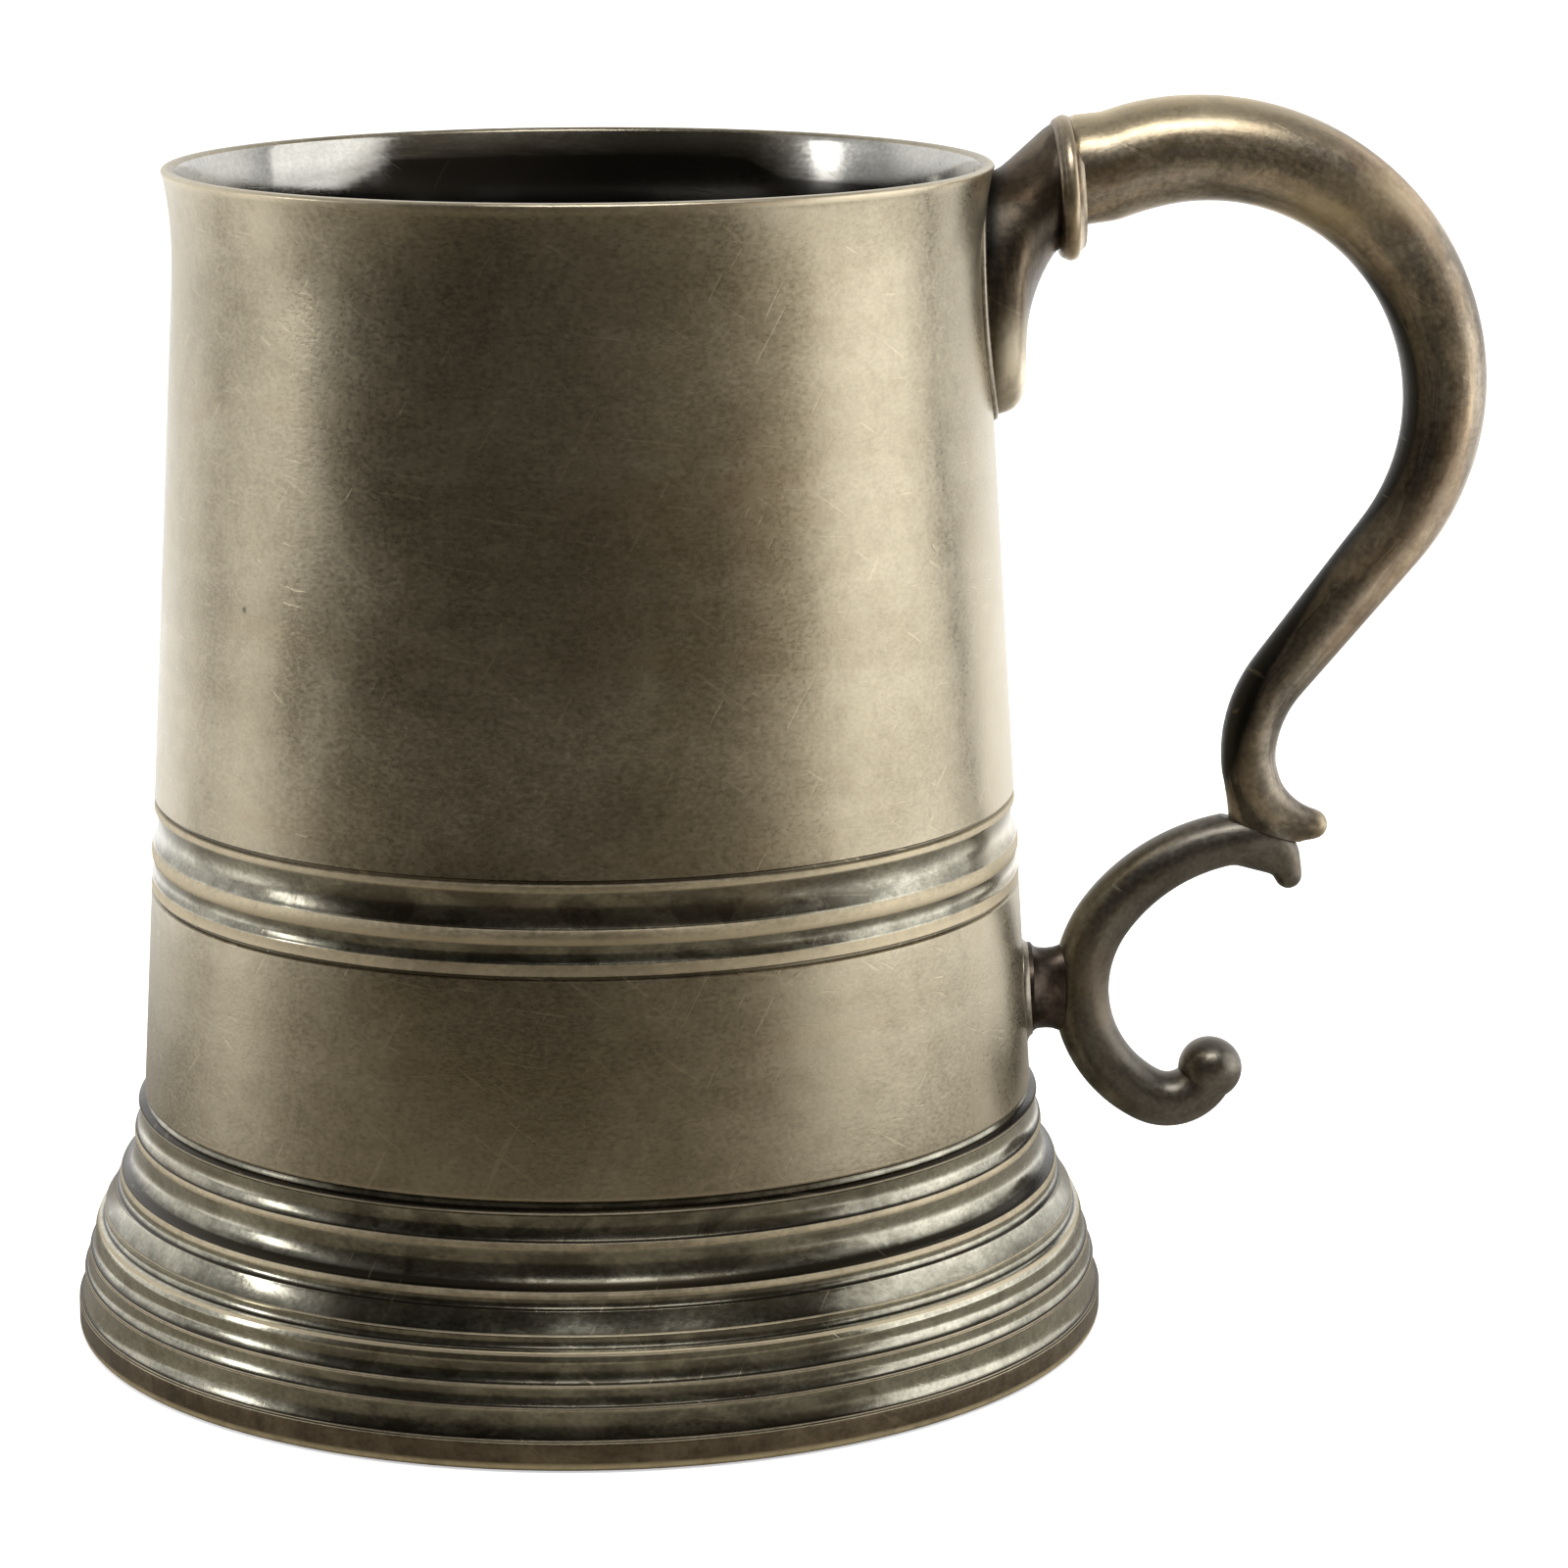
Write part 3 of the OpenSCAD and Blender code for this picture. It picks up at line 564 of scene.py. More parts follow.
# foot
foot = {  # the lands are shares of the spread and of the height
    "lands": [((0.09, 0.97), (0.09, 0.957)), ((0.15, 0.85), (0.16, 0.82)), ((0.36, 0.67), (0.38, 0.643)),
              ((0.44, 0.6), (0.6, 0.51)), ((0.7, 0.455), (0.74, 0.415)), ((0.82, 0.335), (0.83, 0.32)),
              ((0.9, 0.25), (0.91, 0.236)), ((0.98, 0.125), (1.0, 0.11))],
    "coves": [0.4, 0.75, 0.2, 0.35, 0.3, 0.2, 0.25], "slopeLand": 3, "crestLand": 4, "round": 0.5,
    "top": 24.5, "topR": 46.0, "topEdge": (46.15, 23.95), "topShade": 23.9, "spread": (46.25, 53.7),
    "sole": 51.6, "collarLow": 17.15, "inside": [(51.6, 2.6), (49.36, 8.2), (47.92, 12.5)],
    "around": 192, "paleSlope": 0.22, "paleCrest": 0.4, "coveLeast": 0.15, "hidden": 0.6,
    "hiddenLean": (24, 0.3), "rimZ": 0.45, "rimWear": (0.4, 0.15), "crestHighlight": 0.9, "crestHighlightHalf": 0.3,
    "upFacingShade": (0.4, 0.65)}


def onFoot(share):
    low, high = foot["spread"]
    return low + (high - low) * share[0], foot["top"] * share[1]


def makeFoot():
    f = foot
    points = [(drum["spigot"], f["top"]), (f["topR"], f["top"])]
    lineTo(points, f["topEdge"], 2)
    lands = [(onFoot(high), onFoot(low)) for high, low in f["lands"]]
    for index, (high, low) in enumerate(lands):
        if index == 0:
            lineTo(points, (high[0] - 0.12, high[1]))
        curveTo(points, (high[0], high[1] - 0.14), 0.06 if index else 0.01, 4)
        slope = index == f["slopeLand"]
        curveTo(points, (low[0], low[1] + 0.06), -0.06 if slope else 0.03, 10 if slope else 5)
        if index < len(f["coves"]):
            after = lands[index + 1][0]
            curveTo(points, (after[0] - 0.2, after[1] + 0.07), -f["coves"][index], 10)
    wide = lands[-1][1][0]
    lineTo(points, (wide, f["round"] + 0.4), 3)
    lineTo(points, (wide, f["round"]), 2)
    curveTo(points, (wide - f["round"], 0.0), f["round"] * 0.293, 6)
    lineTo(points, (f["sole"] + 0.3, 0.0))
    lineTo(points, (f["sole"], 0.3))
    for spot in f["inside"]:
        lineTo(points, spot, 4)
    lineTo(points, (drum["spigot"], f["collarLow"]), 4)
    bm = spinProfile(points, f["around"])
    bmesh.ops.recalc_face_normals(bm, faces=bm.faces[:])
    slopeHigh, slopeLow = (spot[1] for spot in lands[f["slopeLand"]])
    crest = lands[f["crestLand"]][0][1]
    pale = [(high[1] + 0.06, low[1]) for high, low in lands]
    pale[f["slopeLand"]] = (slopeLow + f["paleSlope"], slopeLow)
    pale[f["crestLand"]] = (crest + 0.06, crest + 0.06 - f["paleCrest"])
    for face in bm.faces:  # pale lands, bright coves, brown below and inside
        middle = face.calc_center_median()
        outside = face.normal.x * middle.x + face.normal.y * middle.y > -0.001 and middle.z > 0.001
        if not outside or middle.z < pale[-1][1]:
            face.material_index = 2
        elif not any(low < middle.z < high for high, low in pale):
            face.material_index = 1
    hollows = [(lands[i][1][1] - 0.02, lands[i + 1][0][1] + 0.04) for i in range(len(lands) - 1)]
    hollows += [(f["top"], f["topShade"]), (slopeHigh, slopeLow + f["paleSlope"])]
    leanZ, lean = f["hiddenLean"]

    def paint(co, normal):
        outer = drum["spigot"] + 0.2 if co.z > f["collarLow"] else f["topR"] + (leanZ - co.z) * lean
        if math.hypot(co.x, co.y) < outer - 0.3 or co.z < 0.05:
            return 0.0, f["hidden"]
        # wear along the bottom rim, and a painted highlight along the crest land's top edge
        edge = ramp(abs(co.z - f["rimZ"]), *f["rimWear"])
        edge = max(edge, f["crestHighlight"] * ramp(abs(co.z - crest + 0.15), f["crestHighlightHalf"], 0))
        if edge > 0:
            return edge, 0.0
        # painted shade in the hollows and on up-facing surfaces
        return 0.0, max(coveShade(co, hollows, f["coveLeast"]), ramp(normal.z, *f["upFacingShade"]))
    metals = [landMetal, coveMetal, fasciaMetal]
    finishPiece(bm, "steppedFoot", metals, ["foot_skirt"], 50, paint)


makeFoot()


# glass bottom and what holds it
bottom = {
    "glassZ": 9.4, "glassT": 5.0, "glassR": 44.25, "edge": 0.5, "ringZ": 7.0, "ringIn": 40.55, "bed": 0.6,
    "fillet": (0.6, 1.25, 2.8), "ringPaint": (0.15, 0.3), "around": 160}


def makeBottom():
    b = bottom
    bm = bmesh.new()
    bmesh.ops.create_circle(bm, cap_ends=True, segments=b["around"], radius=b["glassR"],
                            matrix=Matrix.Translation((0, 0, b["glassZ"])))
    raised = bmesh.ops.extrude_face_region(bm, geom=bm.faces[:])["geom"]
    raised = [g for g in raised if isinstance(g, bmesh.types.BMVert)]
    bmesh.ops.translate(bm, vec=(0, 0, b["glassT"]), verts=raised)
    rims = [e for e in bm.edges if abs(e.verts[0].co.z - e.verts[1].co.z) < 0.001]
    bmesh.ops.bevel(bm, geom=rims, offset=b["edge"], segments=3, profile=0.5, affect="EDGES", material=-1)
    finishPiece(bm, "glassBottom", [glassClear], ["glass_disc"], 30)

    bore = drum["bore"]
    top = b["glassZ"]
    ring = [(bore, b["ringZ"]), (bore, top), (b["ringIn"] + 0.2, top)]
    curveTo(ring, (b["ringIn"], top - 0.25), -0.05, 3)
    lineTo(ring, (b["ringIn"], top - 0.9), 2)
    curveTo(ring, (bore - 1.9, b["ringZ"]), 0.35, 8)
    bm = spinProfile(ring, b["around"])
    finishPiece(bm, "glassRing", [fasciaMetal], ["retaining_ring"], 40,
                lambda co, normal: b["ringPaint"])

    ledge = drum["ledge"][0]
    bed = [(bore, ledge), (drum["ledgeIn"], ledge)]
    curveTo(bed, (drum["ledgeIn"] + 0.1, ledge - b["bed"]), -0.12, 4)
    lineTo(bed, (b["glassR"] - b["edge"], ledge - b["bed"]))
    lineTo(bed, (b["glassR"], ledge - b["bed"] - b["edge"]))
    lineTo(bed, (b["glassR"], top), 3)
    lineTo(bed, (bore, top))
    finishPiece(spinProfile(bed, b["around"]), "glassPutty", [puttyGrey], ["glass_bedding"], 40)

    low = foot["collarLow"]
    wide, half, tall = b["fillet"]
    fillet = [(drum["spigot"], low)]
    lineTo(fillet, (drum["spigot"] + wide, low - half))
    curveTo(fillet, (drum["spigot"], low - tall), -0.25, 6)
    finishPiece(spinProfile(fillet, b["around"]), "footSolder", [solderMetal], ["foot_solder"], 40)


makeBottom()


# handle: rings carried along a path in the plane through the drum's axis
def sectionMatrix(spot, across, up, ahead):
    return Matrix(((*across, 0), (*up, 0), (*ahead, 0), (*spot, 1))).transposed()


def ringMatrix(x, z, tilt, across, high):
    a = math.radians(tilt)
    up = Vector((-math.sin(a), 0, math.cos(a))) * high
    return sectionMatrix((x, 0, z), (0, across, 0), up, (math.cos(a), 0, math.sin(a)))


def sweepRings(rings, sides):
    bm = bmesh.new()
    bmesh.ops.create_circle(bm, cap_ends=True, segments=sides, radius=1, matrix=rings[0])
    loop = bm.edges[:]
    for before, after in zip(rings, rings[1:]):
        grown = bmesh.ops.extrude_edge_only(bm, edges=loop)["geom"]
        verts = [g for g in grown if isinstance(g, bmesh.types.BMVert)]
        fresh = set(verts)
        loop = [g for g in grown if isinstance(g, bmesh.types.BMEdge) and fresh.issuperset(g.verts)]
        bmesh.ops.transform(bm, matrix=after @ before.inverted(), verts=verts)
    bmesh.ops.contextual_create(bm, geom=loop)
    return bm


def walk(start, heading, moves, step=0.8):
    # each move: (radius or 0, turn in degrees or length, tube at its start, tube at its end, ease)
    x, z = start
    stations = [(x, z, heading, moves[0][2])]
    for radius, amount, tubeIn, tubeOut, ease in moves:
        length = abs(math.radians(amount)) * radius if radius else amount
        count = max(4, round(length / step))
        x0, z0, h0 = x, z, heading
        a = math.radians(h0)
        for i in range(1, count + 1):
            t = i / count
            if radius:
                side = 1 if amount > 0 else -1
                heading = h0 + amount * t
                b = math.radians(heading)
                x = x0 + side * radius * (math.sin(b) - math.sin(a))
                z = z0 + side * radius * (math.cos(a) - math.cos(b))
            else:
                x, z = x0 + amount * t * math.cos(a), z0 + amount * t * math.sin(a)
            stations.append((x, z, heading, tubeIn + (tubeOut - tubeIn) * t ** ease))
    return stations


def roundTip(station, count=8):
    x, z, heading, tube = station
    a = math.radians(heading)
    tips = []
    for i in range(1, count + 1):
        b = math.radians(86 * i / count)
        reach = tube * math.sin(b)
        tips.append((x + reach * math.cos(a), z + reach * math.sin(a), heading, tube * math.cos(b)))
    return tips


handle = {
    "root": (49.594, 117.1), "rise": 32.5, "bow": (25.376, -122.5), "bowClose": (24.107, -38.8),
    "run": 18.099, "bend": (13.5, 40.8), "leaf": (7.25, 85), "tubes": (5.65, 4.31, 3.75, 3.2, 2.9, 1.7),
    "collarTilt": 4.0, "collarWidth": 2.6, "collarR": 7.4, "collarIn": 3.2, "socketR": 5.8,
    "break": (68.973, 57.557), "seat": (70.773, 50.057), "seatSlope": -19.3, "fold": 0.6,
    "foldGrime": 0.8,
    "heel": [(0, 1, 2.4, 2.6), (0.5, -2.5, 2.5, 3.0), (1.3, -5, 2.5, 3.4), (1.8, -10, 2.5, 3.6)],
    "sides": 40, "heelSides": 32, "skin": 0.3, "smooth": 14}
grip = {  # where the upper scroll is rubbed, with a painted highlight on top, where its tarnish stays, and its painted shade facing the drum
    "top": 0.9, "topZ": (119, 123), "topX": (84, 64), "tip": 0.5, "tipX": (75.5, 77.5), "tipZ": 56,
    "knuckle": 0.9, "knuckleAt": (77, 115.5), "knuckleSize": (9, 4), "tarnishAndShade": 0.4, "inside": 0.8,
    "innerShadeZ": ((52, 64), (116, 108)), "crotch": 0.5, "crotchAt": (74, 49.5), "crotchSize": (3, 3),
    "low": 0.36, "lowZ": (78, 62)}
scroll = {
    "crest": (69.223, 49.357), "crestHeading": 184, "curves": ((20.3, 49.5), (13.25, 99.5), (4.6, 102)),
    "tube": 3.0, "thin": (0.93, 0.98, 0.95), "leaf": (3.8, 85), "leafEnd": 1.0, "tip": 1.53, "web": 2.3,
    "webSides": 32, "ball": (65.488, 24.402), "ballR": 3.35, "ballTurn": 62, "ballFlat": 0.03,
    "sides": 36, "skin": 0.25, "smooth": 14, "wearAndHighlight": 0.05, "tarnishAndShade": 0.35, "inner": 0.3,
    "innerAt": (62, 34), "innerSize": (10, 10), "ballPaint": (0.08, 0.4)}


def cutAtSeat(bm, keepUpper):
    a = math.radians(handle["seatSlope"])
    normal = Vector((-math.sin(a), 0, math.cos(a)))
    if keepUpper:
        normal.negate()
    x, z = handle["seat"]
    cut = bmesh.ops.bisect_plane(bm, geom=bm.verts[:] + bm.edges[:] + bm.faces[:], dist=0.0001,
                                 plane_co=(x, 0, z), plane_no=normal, clear_outer=True)
    edges = [g for g in cut["geom_cut"] if isinstance(g, bmesh.types.BMEdge)]
    bmesh.ops.contextual_create(bm, geom=edges)


def seatFold(co):
    x, z = handle["seat"]
    off = co.z - z - math.tan(math.radians(handle["seatSlope"])) * (co.x - x)
    return handle["foldGrime"] * ramp(abs(off), handle["fold"], 0)


def makeUpperScroll():
    h = handle
    t = h["tubes"]
    moves = [(*h["bow"], t[0], t[1], 1.25), (*h["bowClose"], t[1], t[2], 1), (0, h["run"], t[2], t[3], 1),
             (*h["bend"], t[3], t[4], 1), (*h["leaf"], t[4], t[5], 2)]
    path = walk(h["root"], h["rise"], moves)
    path += roundTip(path[-1])
    tilt = h["collarTilt"]
    clear = h["root"][0] + h["collarWidth"] / 2 + 2.6
    rings = [ringMatrix(h["root"][0] + 0.2, h["root"][1] + t[0] * 0.3, tilt, t[0], t[0])]
    for index, (x, z, heading, tube) in enumerate(path):
        if x < clear and index < 12:
            continue
        blend = min(1.0, index / 18)
        blend = blend * blend * (3 - 2 * blend)
        rings.append(ringMatrix(x, z, tilt + (heading - tilt) * blend, tube, tube))
    breakX, breakZ = h["break"]
    heel = [ringMatrix(breakX + x, breakZ + z, -88, across, high) for x, z, across, high in h["heel"]]
    shells = [sweepRings(rings, h["sides"]), sweepRings(heel, h["heelSides"])]
    bm = fuseShells(shells, h["skin"], h["smooth"])
    cutAtSeat(bm, True)

    def paint(co, normal):
        g = grip
        # rubbed on top, and lighter where it faces up: wear with a painted highlight
        top = g["top"] * ramp(co.z, *g["topZ"]) * max(0.0, normal.z) * ramp(co.x, *g["topX"])
        tip = g["tip"] * ramp(co.x, *g["tipX"]) if co.z < g["tipZ"] else 0.0
        knuckle = g["knuckle"] * near(co, g["knuckleAt"], *g["knuckleSize"])
        # painted shade on the side that faces the drum
        low, high = g["innerShadeZ"]
        inside = g["inside"] * max(0.0, -normal.x) * ramp(co.z, *low) * ramp(co.z, *high)
        crotch = g["crotch"] * near(co, g["crotchAt"], *g["crotchSize"])
        tarnishAndShade = g["tarnishAndShade"] + inside + g["low"] * ramp(co.z, *g["lowZ"])
        return max(top, tip, knuckle), max(seatFold(co), tarnishAndShade, crotch)
    run = alongPath(path)
    finishPiece(bm, "upperScroll", [handleMetal], ["upper_scroll"], 50, paint, run)


def makeLowerScroll():
    s = scroll
    tube, tip = s["tube"], s["tip"]
    crest, bottomTube, end = (tube * share for share in s["thin"])
    first, second, third = s["curves"]
    moves = [(*first, crest, tube, 1), (*second, tube, bottomTube, 2), (*third, bottomTube, end, 1)]
    back = walk(s["crest"], s["crestHeading"], moves, 0.7)
    moves = [(s["leaf"][0], -s["leaf"][1], crest, tip, 1), (0, s["leafEnd"], tip, tip, 1)]
    leaf = walk(s["crest"], s["crestHeading"] - 180, moves, 0.4)
    tipX, tipZ = leaf[-1][0] - 0.6, leaf[-1][1] + 1.3
    leaf += roundTip(leaf[-1])
    path = [(x, z, heading + 180, r) for x, z, heading, r in reversed(leaf[1:])] + back
    main = sweepRings([ringMatrix(x, z, heading, r, r) for x, z, heading, r in path], s["sides"])
    webX, webZ = s["crest"][0] - 1.5, s["crest"][1] - 0.7
    slant = math.degrees(math.atan2(webZ - tipZ, webX - tipX))
    web = [ringMatrix(tipX, tipZ, slant, tip, tip), ringMatrix(webX, webZ, slant, s["web"], s["web"])]
    bm = fuseShells([main, sweepRings(web, s["webSides"])], s["skin"], s["smooth"])
    cutAtSeat(bm, False)

    def paint(co, normal):
        inner = s["inner"] * near(co, s["innerAt"], *s["innerSize"])
        return s["wearAndHighlight"] * max(0.0, normal.z), max(seatFold(co), s["tarnishAndShade"] + inner)
    run = alongPath(path)
    finishPiece(bm, "lowerScroll", [scrollMetal], ["lower_scroll"], 50, paint, run)


def makeBall():
    s = scroll
    bm = bmesh.new()
    bmesh.ops.create_uvsphere(bm, u_segments=56, v_segments=36, radius=s["ballR"])
    turn = Matrix.Rotation(math.radians(s["ballTurn"]), 3, "Y")
    bmesh.ops.rotate(bm, cent=(0, 0, 0), matrix=turn, verts=bm.verts[:])
    filed = Vector((0.35, 0, 0.94))
    for v in bm.verts:  # cast ball, slightly flattened where it was filed off the sprue
        v.co *= 1 - s["ballFlat"] * max(0.0, v.co.normalized().dot(filed)) ** 3
    bmesh.ops.translate(bm, vec=(s["ball"][0], 0, s["ball"][1]), verts=bm.verts[:])
    wearAndHighlight, tarnishAndShade = s["ballPaint"]
    finishPiece(bm, "ballEnd", [scrollMetal], ["ball_finial"], 60,
                lambda co, normal: (wearAndHighlight * max(0.0, normal.z), tarnishAndShade), tuple)


def makeCollar():
    h = handle
    inner, half, wide = h["collarIn"], h["collarWidth"] / 2, h["collarR"]
    points = [(inner, -half), (inner, half), (wide - 1.25, half)]
    curveTo(points, (wide - 0.3, half - 0.75), -0.12, 6)
    curveTo(points, (wide - 0.25, -half + 0.55), 0.25, 12)
    curveTo(points, (wide - 0.75, -half), 0.1, 5)
    bm = spinProfile(points, 96)
    turn = Matrix.Rotation(math.radians(90 - h["collarTilt"]), 4, "Y")
    place = Matrix.Translation((h["root"][0], 0, h["root"][1])) @ turn
    bmesh.ops.transform(bm, matrix=place, verts=bm.verts[:])
    back = place.inverted()

    def paint(co, normal):
        spot = back @ co
        crest = ramp(abs(spot.z), 0.8, 0) if math.hypot(spot.x, spot.y) > wide - 0.6 else 0.0
        return 0.5 * crest, 0.35 + 0.3 * ramp(abs(spot.z), 0.9, 1.3)
    finishPiece(bm, "handleCollar", [handleMetal], ["handle_collar"], 55, paint,
                lambda co: aroundAxis(back @ co, 2.0))


socket = {
    "ovalTop": 118.8, "ovalLow": 93.9, "halfWidth": 9.0, "tongue": 3.6, "elbowZ": 100.6, "crown": 1.1,
    "sides": 64, "seam": 0.5, "seamSteps": 120, "seamSides": 10, "sunk": 0.35, "skin": 0.4, "smooth": 24,
    "tongueHighlight": (-0.05, 0.2833), "tongueZ": (106, 99), "crownWear": 0.1, "crownZ": (119, 123),
    "tarnishAndShade": 0.1, "upper": 0.55, "upperShadeZ": (104, 112), "drumShade": 0.5, "drumShadeGap": 4}


def makeSocket():
    h, s = handle, socket
    a = math.radians(h["collarTilt"])
    half = h["collarWidth"] / 2
    faceX, faceZ = h["root"][0] - half * math.cos(a), h["root"][1] - half * math.sin(a)
    high = (faceX - h["socketR"] * math.sin(a), faceZ + (h["socketR"] + s["crown"]) * math.cos(a))
    low = (faceX + h["socketR"] * math.sin(a), faceZ - h["socketR"] * math.cos(a))
    ovalZ, ovalH = (s["ovalTop"] + s["ovalLow"]) / 2, (s["ovalTop"] - s["ovalLow"]) / 2
    ovalX = drumR(ovalZ) + 0.9
    tongueX = drumR(s["elbowZ"]) + s["tongue"]
    rise = low[1] - s["elbowZ"]
    hollow = ((low[0] - tongueX) ** 2 + rise ** 2) / (2 * (low[0] - tongueX))
    turn = math.degrees(math.asin(rise / hollow))
    mouth = h["socketR"] + 0.4
    swell = s["halfWidth"] - 1.6 - h["socketR"]

    def between(upper, lower, across):
        d = (upper[0] - lower[0], upper[1] - lower[1])
        tilt = math.degrees(math.atan2(-d[0], d[1]))
        x, z = (upper[0] + lower[0]) / 2, (upper[1] + lower[1]) / 2
        return ringMatrix(x, z, tilt, across, math.hypot(*d) / 2)

    def top(t):
        return high[0] + (ovalX - high[0]) * t, high[1] + (s["ovalTop"] - high[1]) * t

    rings = [between((high[0] + 1.4, high[1]), (low[0] + 1.4, low[1]), mouth)]
    for i in range(25):  # down the hollow under the arm
        t = i / 24
        b = math.radians(180 - turn + turn * t)
        lower = (tongueX + hollow + hollow * math.cos(b), s["elbowZ"] + hollow * math.sin(b))
        rings.append(between(top(0.76 * t), lower, mouth + swell * t * t))
    for i in range(9):  # round the end of the tongue
        t = i / 8
        b = math.radians(90 * t)
        lower = (tongueX + (ovalX - tongueX) * (1 - math.cos(b)), s["ovalLow"] + 2.5 * (1 - math.sin(b)))
        rings.append(between(top(0.8 + 0.2 * t), lower, s["halfWidth"] - 1 + t))
    rings.append(ringMatrix(ovalX - 2, ovalZ, 0, s["halfWidth"], ovalH))
    rings.reverse()
    bm = fuseShells([sweepRings(rings, s["sides"])], s["skin"], s["smooth"])
    for v in bm.verts:  # the foot is scraped to the drum and sunk a little into it
        if v.co.x < ovalX - 1.5:
            v.co.x = wallX(v.co.y, v.co.z, s["sunk"])

    def paint(co, normal):
        gap = math.hypot(co.x, co.y) - drumR(co.z)
        # a painted highlight on the tongue's side that faces away from the drum
        tongue = ramp(normal.x, *s["tongueHighlight"]) * ramp(co.z, *s["tongueZ"])
        crown = s["crownWear"] * ramp(co.z, *s["crownZ"])
        # painted shade on the upper socket and close to the drum, over its tarnish
        tarnishAndShade = s["tarnishAndShade"] + s["upper"] * ramp(co.z, *s["upperShadeZ"]) + s["drumShade"] * ramp(gap, s["drumShadeGap"], 0)
        return max(tongue, crown), tarnishAndShade
    finishPiece(bm, "handleSocket", [socketMetal], ["handle_socket"], 70, paint,
                lambda co: (co.z, co.y, co.x))

    bead = []
    for i in range(s["seamSteps"] + 1):
        b = 2 * math.pi * i / s["seamSteps"]
        y, z = s["halfWidth"] * math.cos(b), ovalZ + ovalH * math.sin(b)
        spot = Vector((wallX(y, z), y, z))
        ahead = Vector((0, -s["halfWidth"] * math.sin(b), ovalH * math.cos(b))).normalized()
        side = Vector((spot.x, spot.y, 0)).normalized()
        across = ahead.cross(side).normalized()
        bead.append(sectionMatrix(spot, across * s["seam"], side * s["seam"], ahead))
    bm = sweepRings(bead, s["seamSides"])
    caps = [f for f in bm.faces if len(f.verts) == s["seamSides"]]
    bmesh.ops.delete(bm, geom=caps, context="FACES_ONLY")
    finishPiece(bm, "socketSolder", [solderMetal], ["socket_solder"], 60)


strut = {
    "z": 33.3, "length": 3.0, "radius": 4.35, "spread": 0.5, "seam": 0.6, "sunk": 0.35, "sides": 48,
    "seamSides": 72, "fillet": 0.75, "tarnishAndShade": 0.3, "darkReflectionBand": 0.3, "darkBandZ": 2, "darkBandHalf": 2.5}


def makeStrut():
    s = strut
    base = drumR(s["z"])
    r, seam, length = s["radius"], s["seam"], s["length"]
    edge = r + s["spread"]
    # each ring: distance out from the drum, half its width, half its height
    shape = [(-0.35, edge, edge), (seam + 0.1, edge, edge), (seam + 0.35, r + 0.2, r + 0.2),
             (seam + 0.6, r, r), (length * 0.5, r * 0.9, r * 0.985), (length * 0.75, r * 0.8, r * 0.98),
             (length, r * 0.7, r), (length + 0.6, r * 0.65, r * 1.05), (length + 1.2, r * 0.6, r * 1.1)]
    bm = sweepRings([ringMatrix(base + x, s["z"], 0, across, high) for x, across, high in shape], s["sides"])
    for v in bm.verts:
        if v.co.x < base:
            v.co.x = wallX(v.co.y, v.co.z, s["sunk"])

    def paint(co, normal):
        # a painted dark reflection in a band just above the peg's middle, over its tarnish
        return 0.0, s["tarnishAndShade"] + s["darkReflectionBand"] * ramp(abs(co.z - s["z"] - s["darkBandZ"]), s["darkBandHalf"], 0)
    finishPiece(bm, "handleStrut", [strutMetal], ["handle_strut"], 40, paint, tuple)

    points = [(edge - 0.1, -seam), (edge - 0.1, seam - 0.05), (edge, seam)]
    curveTo(points, (edge + s["fillet"], 0.05), -0.1, 6)
    lineTo(points, (edge + s["fillet"], -seam))
    bm = spinProfile(points, s["seamSides"])
    place = Matrix.Translation((base, 0, s["z"])) @ Matrix.Rotation(math.radians(90), 4, "Y")
    bmesh.ops.transform(bm, matrix=place, verts=bm.verts[:])
    for v in bm.verts:
        v.co.x += wallX(v.co.y, v.co.z) - base
    finishPiece(bm, "strutSolder", [solderMetal], ["strut_solder"], 60)


makeSocket()
makeCollar()
makeUpperScroll()
makeLowerScroll()
makeBall()
makeStrut()


# floor, light and camera
studio = {
    "floorFront": -0.22, "floorBack": 8.0, "floorSide": 5.0, "floorZ": -0.0002, "floorRough": 0.9,
    "floorColor": (0.93, 0.93, 0.92), "paper": (0.96, 0.96, 0.95), "paperScale": 300, "fill": 0.5,
    "mirrored": 0.2, "aheadTurn": 0.72, "aheadY": (-0.1, 0.03), "leftFade": 0.8, "leftX": (-0.6, -0.2),
    "rightFade": 0.8, "rightX": (0.28, 0.45), "strip": 0.5, "stripSlant": (0.16, 0.44, 0.72),
    "nearShadow": 0.1, "nearShadowReach": (0.08, 0.35), "front": 0.055, "sides": 0.5, "frontY": (-0.5, -0.12),
    "frontColor": (1.0, 0.865, 0.65), "tintY": (-0.6, -0.15), "rightGlow": 0.1, "glowX": (-0.2, 0.8),
    "rightEdge": 0.34, "edgeX": (0.56, 0.9), "edgeZ": (0.0, 0.2), "back": 1.0, "backY": (0.0, 0.5),
    "ceiling": 0.5, "ceilingZ": (0.35, 0.9), "sky": 0.95, "aim": (0, 0, 0.06),
    "top": {"at": (0.08, -0.43, 0.77), "size": (0.5, 0.18), "power": 2.3},
    "left": {"at": (-0.75, -0.1, 0.24), "size": (0.11, 0.26), "power": 0.5},
    "right": {"at": (0.68, -0.06, 0.2), "size": (0.54, 0.6), "power": 1.05}}


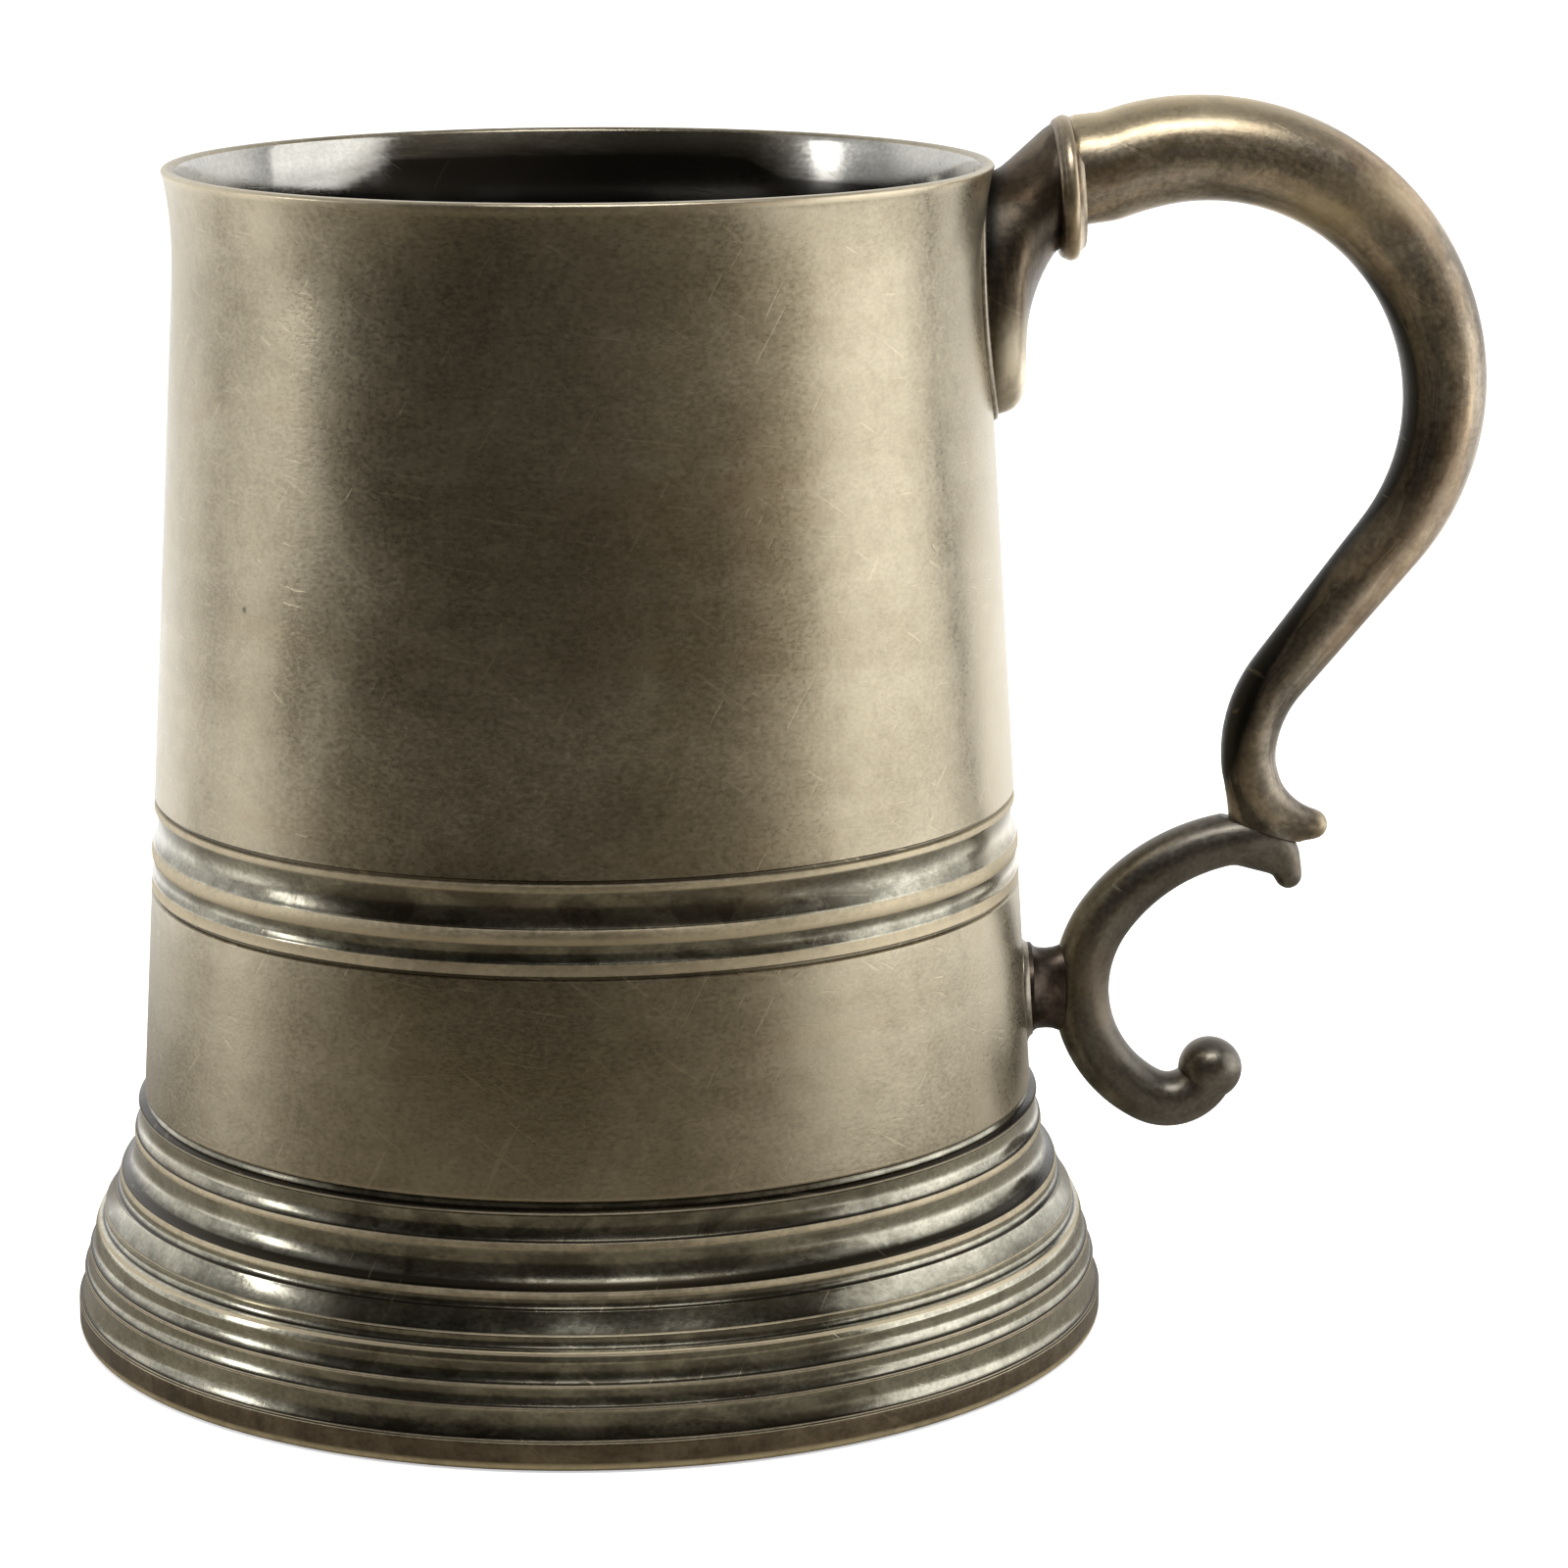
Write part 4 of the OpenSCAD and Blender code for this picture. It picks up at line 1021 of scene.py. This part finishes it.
def makeFloor():
    s = studio
    bm = bmesh.new()
    bmesh.ops.create_grid(bm, x_segments=2, y_segments=2, size=1)
    middle = (s["floorFront"] + s["floorBack"]) / 2
    half = (s["floorBack"] - s["floorFront"]) / 2
    bmesh.ops.scale(bm, vec=(s["floorSide"], half, 1), verts=bm.verts[:])
    bmesh.ops.translate(bm, vec=(0, middle, s["floorZ"]), verts=bm.verts[:])
    mesh = bpy.data.meshes.new("floor")
    bm.to_mesh(mesh)
    bm.free()
    floor = bpy.data.objects.new("floor", mesh)
    scene.collection.objects.link(floor)
    material, tree, shader = newMaterial("paleFloor")
    paper = noise(tree, objectCoords(tree), s["paperScale"], 3)
    tint = blendColor(tree, paper, s["floorColor"], s["paper"])
    path = addNode(tree, "ShaderNodeLightPath")
    split = addNode(tree, "ShaderNodeSeparateXYZ")
    tree.links.new(objectCoords(tree), split.inputs[0])
    x, y = split.outputs[0], split.outputs[1]
    # reflections see the paper fall off in front and to both sides, with a painted shadow close to the foot
    turned = times(tree, mathNode(tree, "MAXIMUM", x, 0.0), s["aheadTurn"])
    kept = spread(tree, mathNode(tree, "ADD", y, turned), *s["aheadY"], 0, 1, True)
    kept = times(tree, kept, spread(tree, x, *s["leftX"], s["leftFade"], 1, True))
    kept = times(tree, kept, spread(tree, x, *s["rightX"], 1, s["rightFade"], True))
    # and a dimmer strip that runs away to the left
    start, middle, end = s["stripSlant"]
    away = mathNode(tree, "MAXIMUM", times(tree, x, -1.0), 0.001)
    slant = mathNode(tree, "DIVIDE", y, away)
    rising = spread(tree, slant, start, middle, 0, 1, True)
    strip = times(tree, rising, spread(tree, slant, middle, end, 1, 0, True))
    kept = times(tree, kept, spread(tree, strip, 0, 1, 1, 1 - s["strip"]))
    # a painted shadow close to the foot, seen only in reflections
    reach = mathNode(tree, "SQRT", mathNode(tree, "ADD", times(tree, x, x), times(tree, y, y)))
    kept = times(tree, kept, spread(tree, reach, *s["nearShadowReach"], s["nearShadow"], 1, True))
    glossy = path.outputs["Is Glossy Ray"]
    dark = times(tree, glossy, mathNode(tree, "SUBTRACT", 1.0, kept))
    dim = tuple(c * s["mirrored"] * f for c, f in zip(s["floorColor"], s["frontColor"]))
    tree.links.new(blendColor(tree, dark, tint, dim), shader.inputs["Base Color"])
    setInputs(shader, {"Roughness": s["floorRough"], "Specular IOR Level": 0.0,
                       "Emission Color": (1, 1, 1, 1)})
    seen = mathNode(tree, "ADD", path.outputs["Is Camera Ray"], times(tree, glossy, kept))
    tree.links.new(times(tree, seen, s["fill"]), shader.inputs["Emission Strength"])
    mesh.materials.append(material)


def makeWorld():
    s = studio
    world = bpy.data.worlds.new("softRoom")
    scene.world = world
    world.use_nodes = True
    tree = world.node_tree
    tree.nodes.clear()
    coords = addNode(tree, "ShaderNodeTexCoord")
    split = addNode(tree, "ShaderNodeSeparateXYZ")
    tree.links.new(coords.outputs["Generated"], split.inputs[0])
    x, y, z = split.outputs
    # a dim room in front, brighter to the sides and white behind
    room = spread(tree, y, *s["frontY"], s["front"], s["sides"], True)
    room = mathNode(tree, "ADD", room, spread(tree, x, *s["glowX"], 0, s["rightGlow"], True))
    low = spread(tree, z, *s["edgeZ"], s["rightEdge"], 0, True)
    room = mathNode(tree, "ADD", room, times(tree, spread(tree, x, *s["edgeX"], 0, 1, True), low))
    room = mathNode(tree, "MAXIMUM", room, spread(tree, y, *s["backY"], 0, s["back"], True))
    room = times(tree, room, spread(tree, z, *s["ceilingZ"], 1, s["ceiling"], True))
    path = addNode(tree, "ShaderNodeLightPath")
    level = addNode(tree, "ShaderNodeMix", data_type="FLOAT")
    tree.links.new(path.outputs["Is Glossy Ray"], level.inputs[0])
    level.inputs[2].default_value = s["sky"]
    tree.links.new(room, level.inputs[3])
    shown = addNode(tree, "ShaderNodeMix", data_type="FLOAT")
    tree.links.new(path.outputs["Is Camera Ray"], shown.inputs[0])
    tree.links.new(level.outputs[0], shown.inputs[2])
    shown.inputs[3].default_value = 1.0
    back = addNode(tree, "ShaderNodeBackground")
    tint = blendColor(tree, spread(tree, y, *s["tintY"], 0, 1, True), s["frontColor"], (1, 1, 1))
    tree.links.new(blendColor(tree, path.outputs["Is Glossy Ray"], (1, 1, 1), tint), back.inputs["Color"])
    tree.links.new(shown.outputs[0], back.inputs["Strength"])
    output = addNode(tree, "ShaderNodeOutputWorld")
    tree.links.new(back.outputs[0], output.inputs["Surface"])


def makeLamp(name, look):
    data = bpy.data.lights.new(name, "AREA")
    data.shape = "RECTANGLE"
    data.size, data.size_y = look["size"]
    data.energy = look["power"]
    lamp = bpy.data.objects.new(name, data)
    lamp.location = look["at"]
    lamp.rotation_euler = (Vector(studio["aim"]) - lamp.location).to_track_quat("-Z", "Y").to_euler()
    scene.collection.objects.link(lamp)


view = {
    "at": (0.0, -0.51273, 0.16722), "yaw": 2.30, "pitch": 12.285, "roll": -0.153, "lens": 116.07,
    "sensor": 36, "near": 0.01}


def makeCamera():
    yaw, pitch, roll = (math.radians(view[k]) for k in ("yaw", "pitch", "roll"))
    ahead = Vector((math.sin(yaw) * math.cos(pitch), math.cos(yaw) * math.cos(pitch), -math.sin(pitch)))
    right = Vector((math.cos(yaw), -math.sin(yaw), 0))
    up = right.cross(ahead)
    turned = math.cos(roll) * right + math.sin(roll) * up
    upright = -math.sin(roll) * right + math.cos(roll) * up
    data = bpy.data.cameras.new("photoView")
    data.lens, data.sensor_width, data.clip_start = view["lens"], view["sensor"], view["near"]
    camera = bpy.data.objects.new("photoView", data)
    place = Matrix((turned, upright, -ahead)).transposed().to_4x4()
    place.translation = view["at"]
    camera.matrix_world = place
    scene.collection.objects.link(camera)
    scene.camera = camera


makeFloor()
makeWorld()
for lampName in ("top", "left", "right"):
    makeLamp(lampName + "Softbox", studio[lampName])
makeCamera()
scene.view_settings.view_transform = "Standard"
print("studio ready")
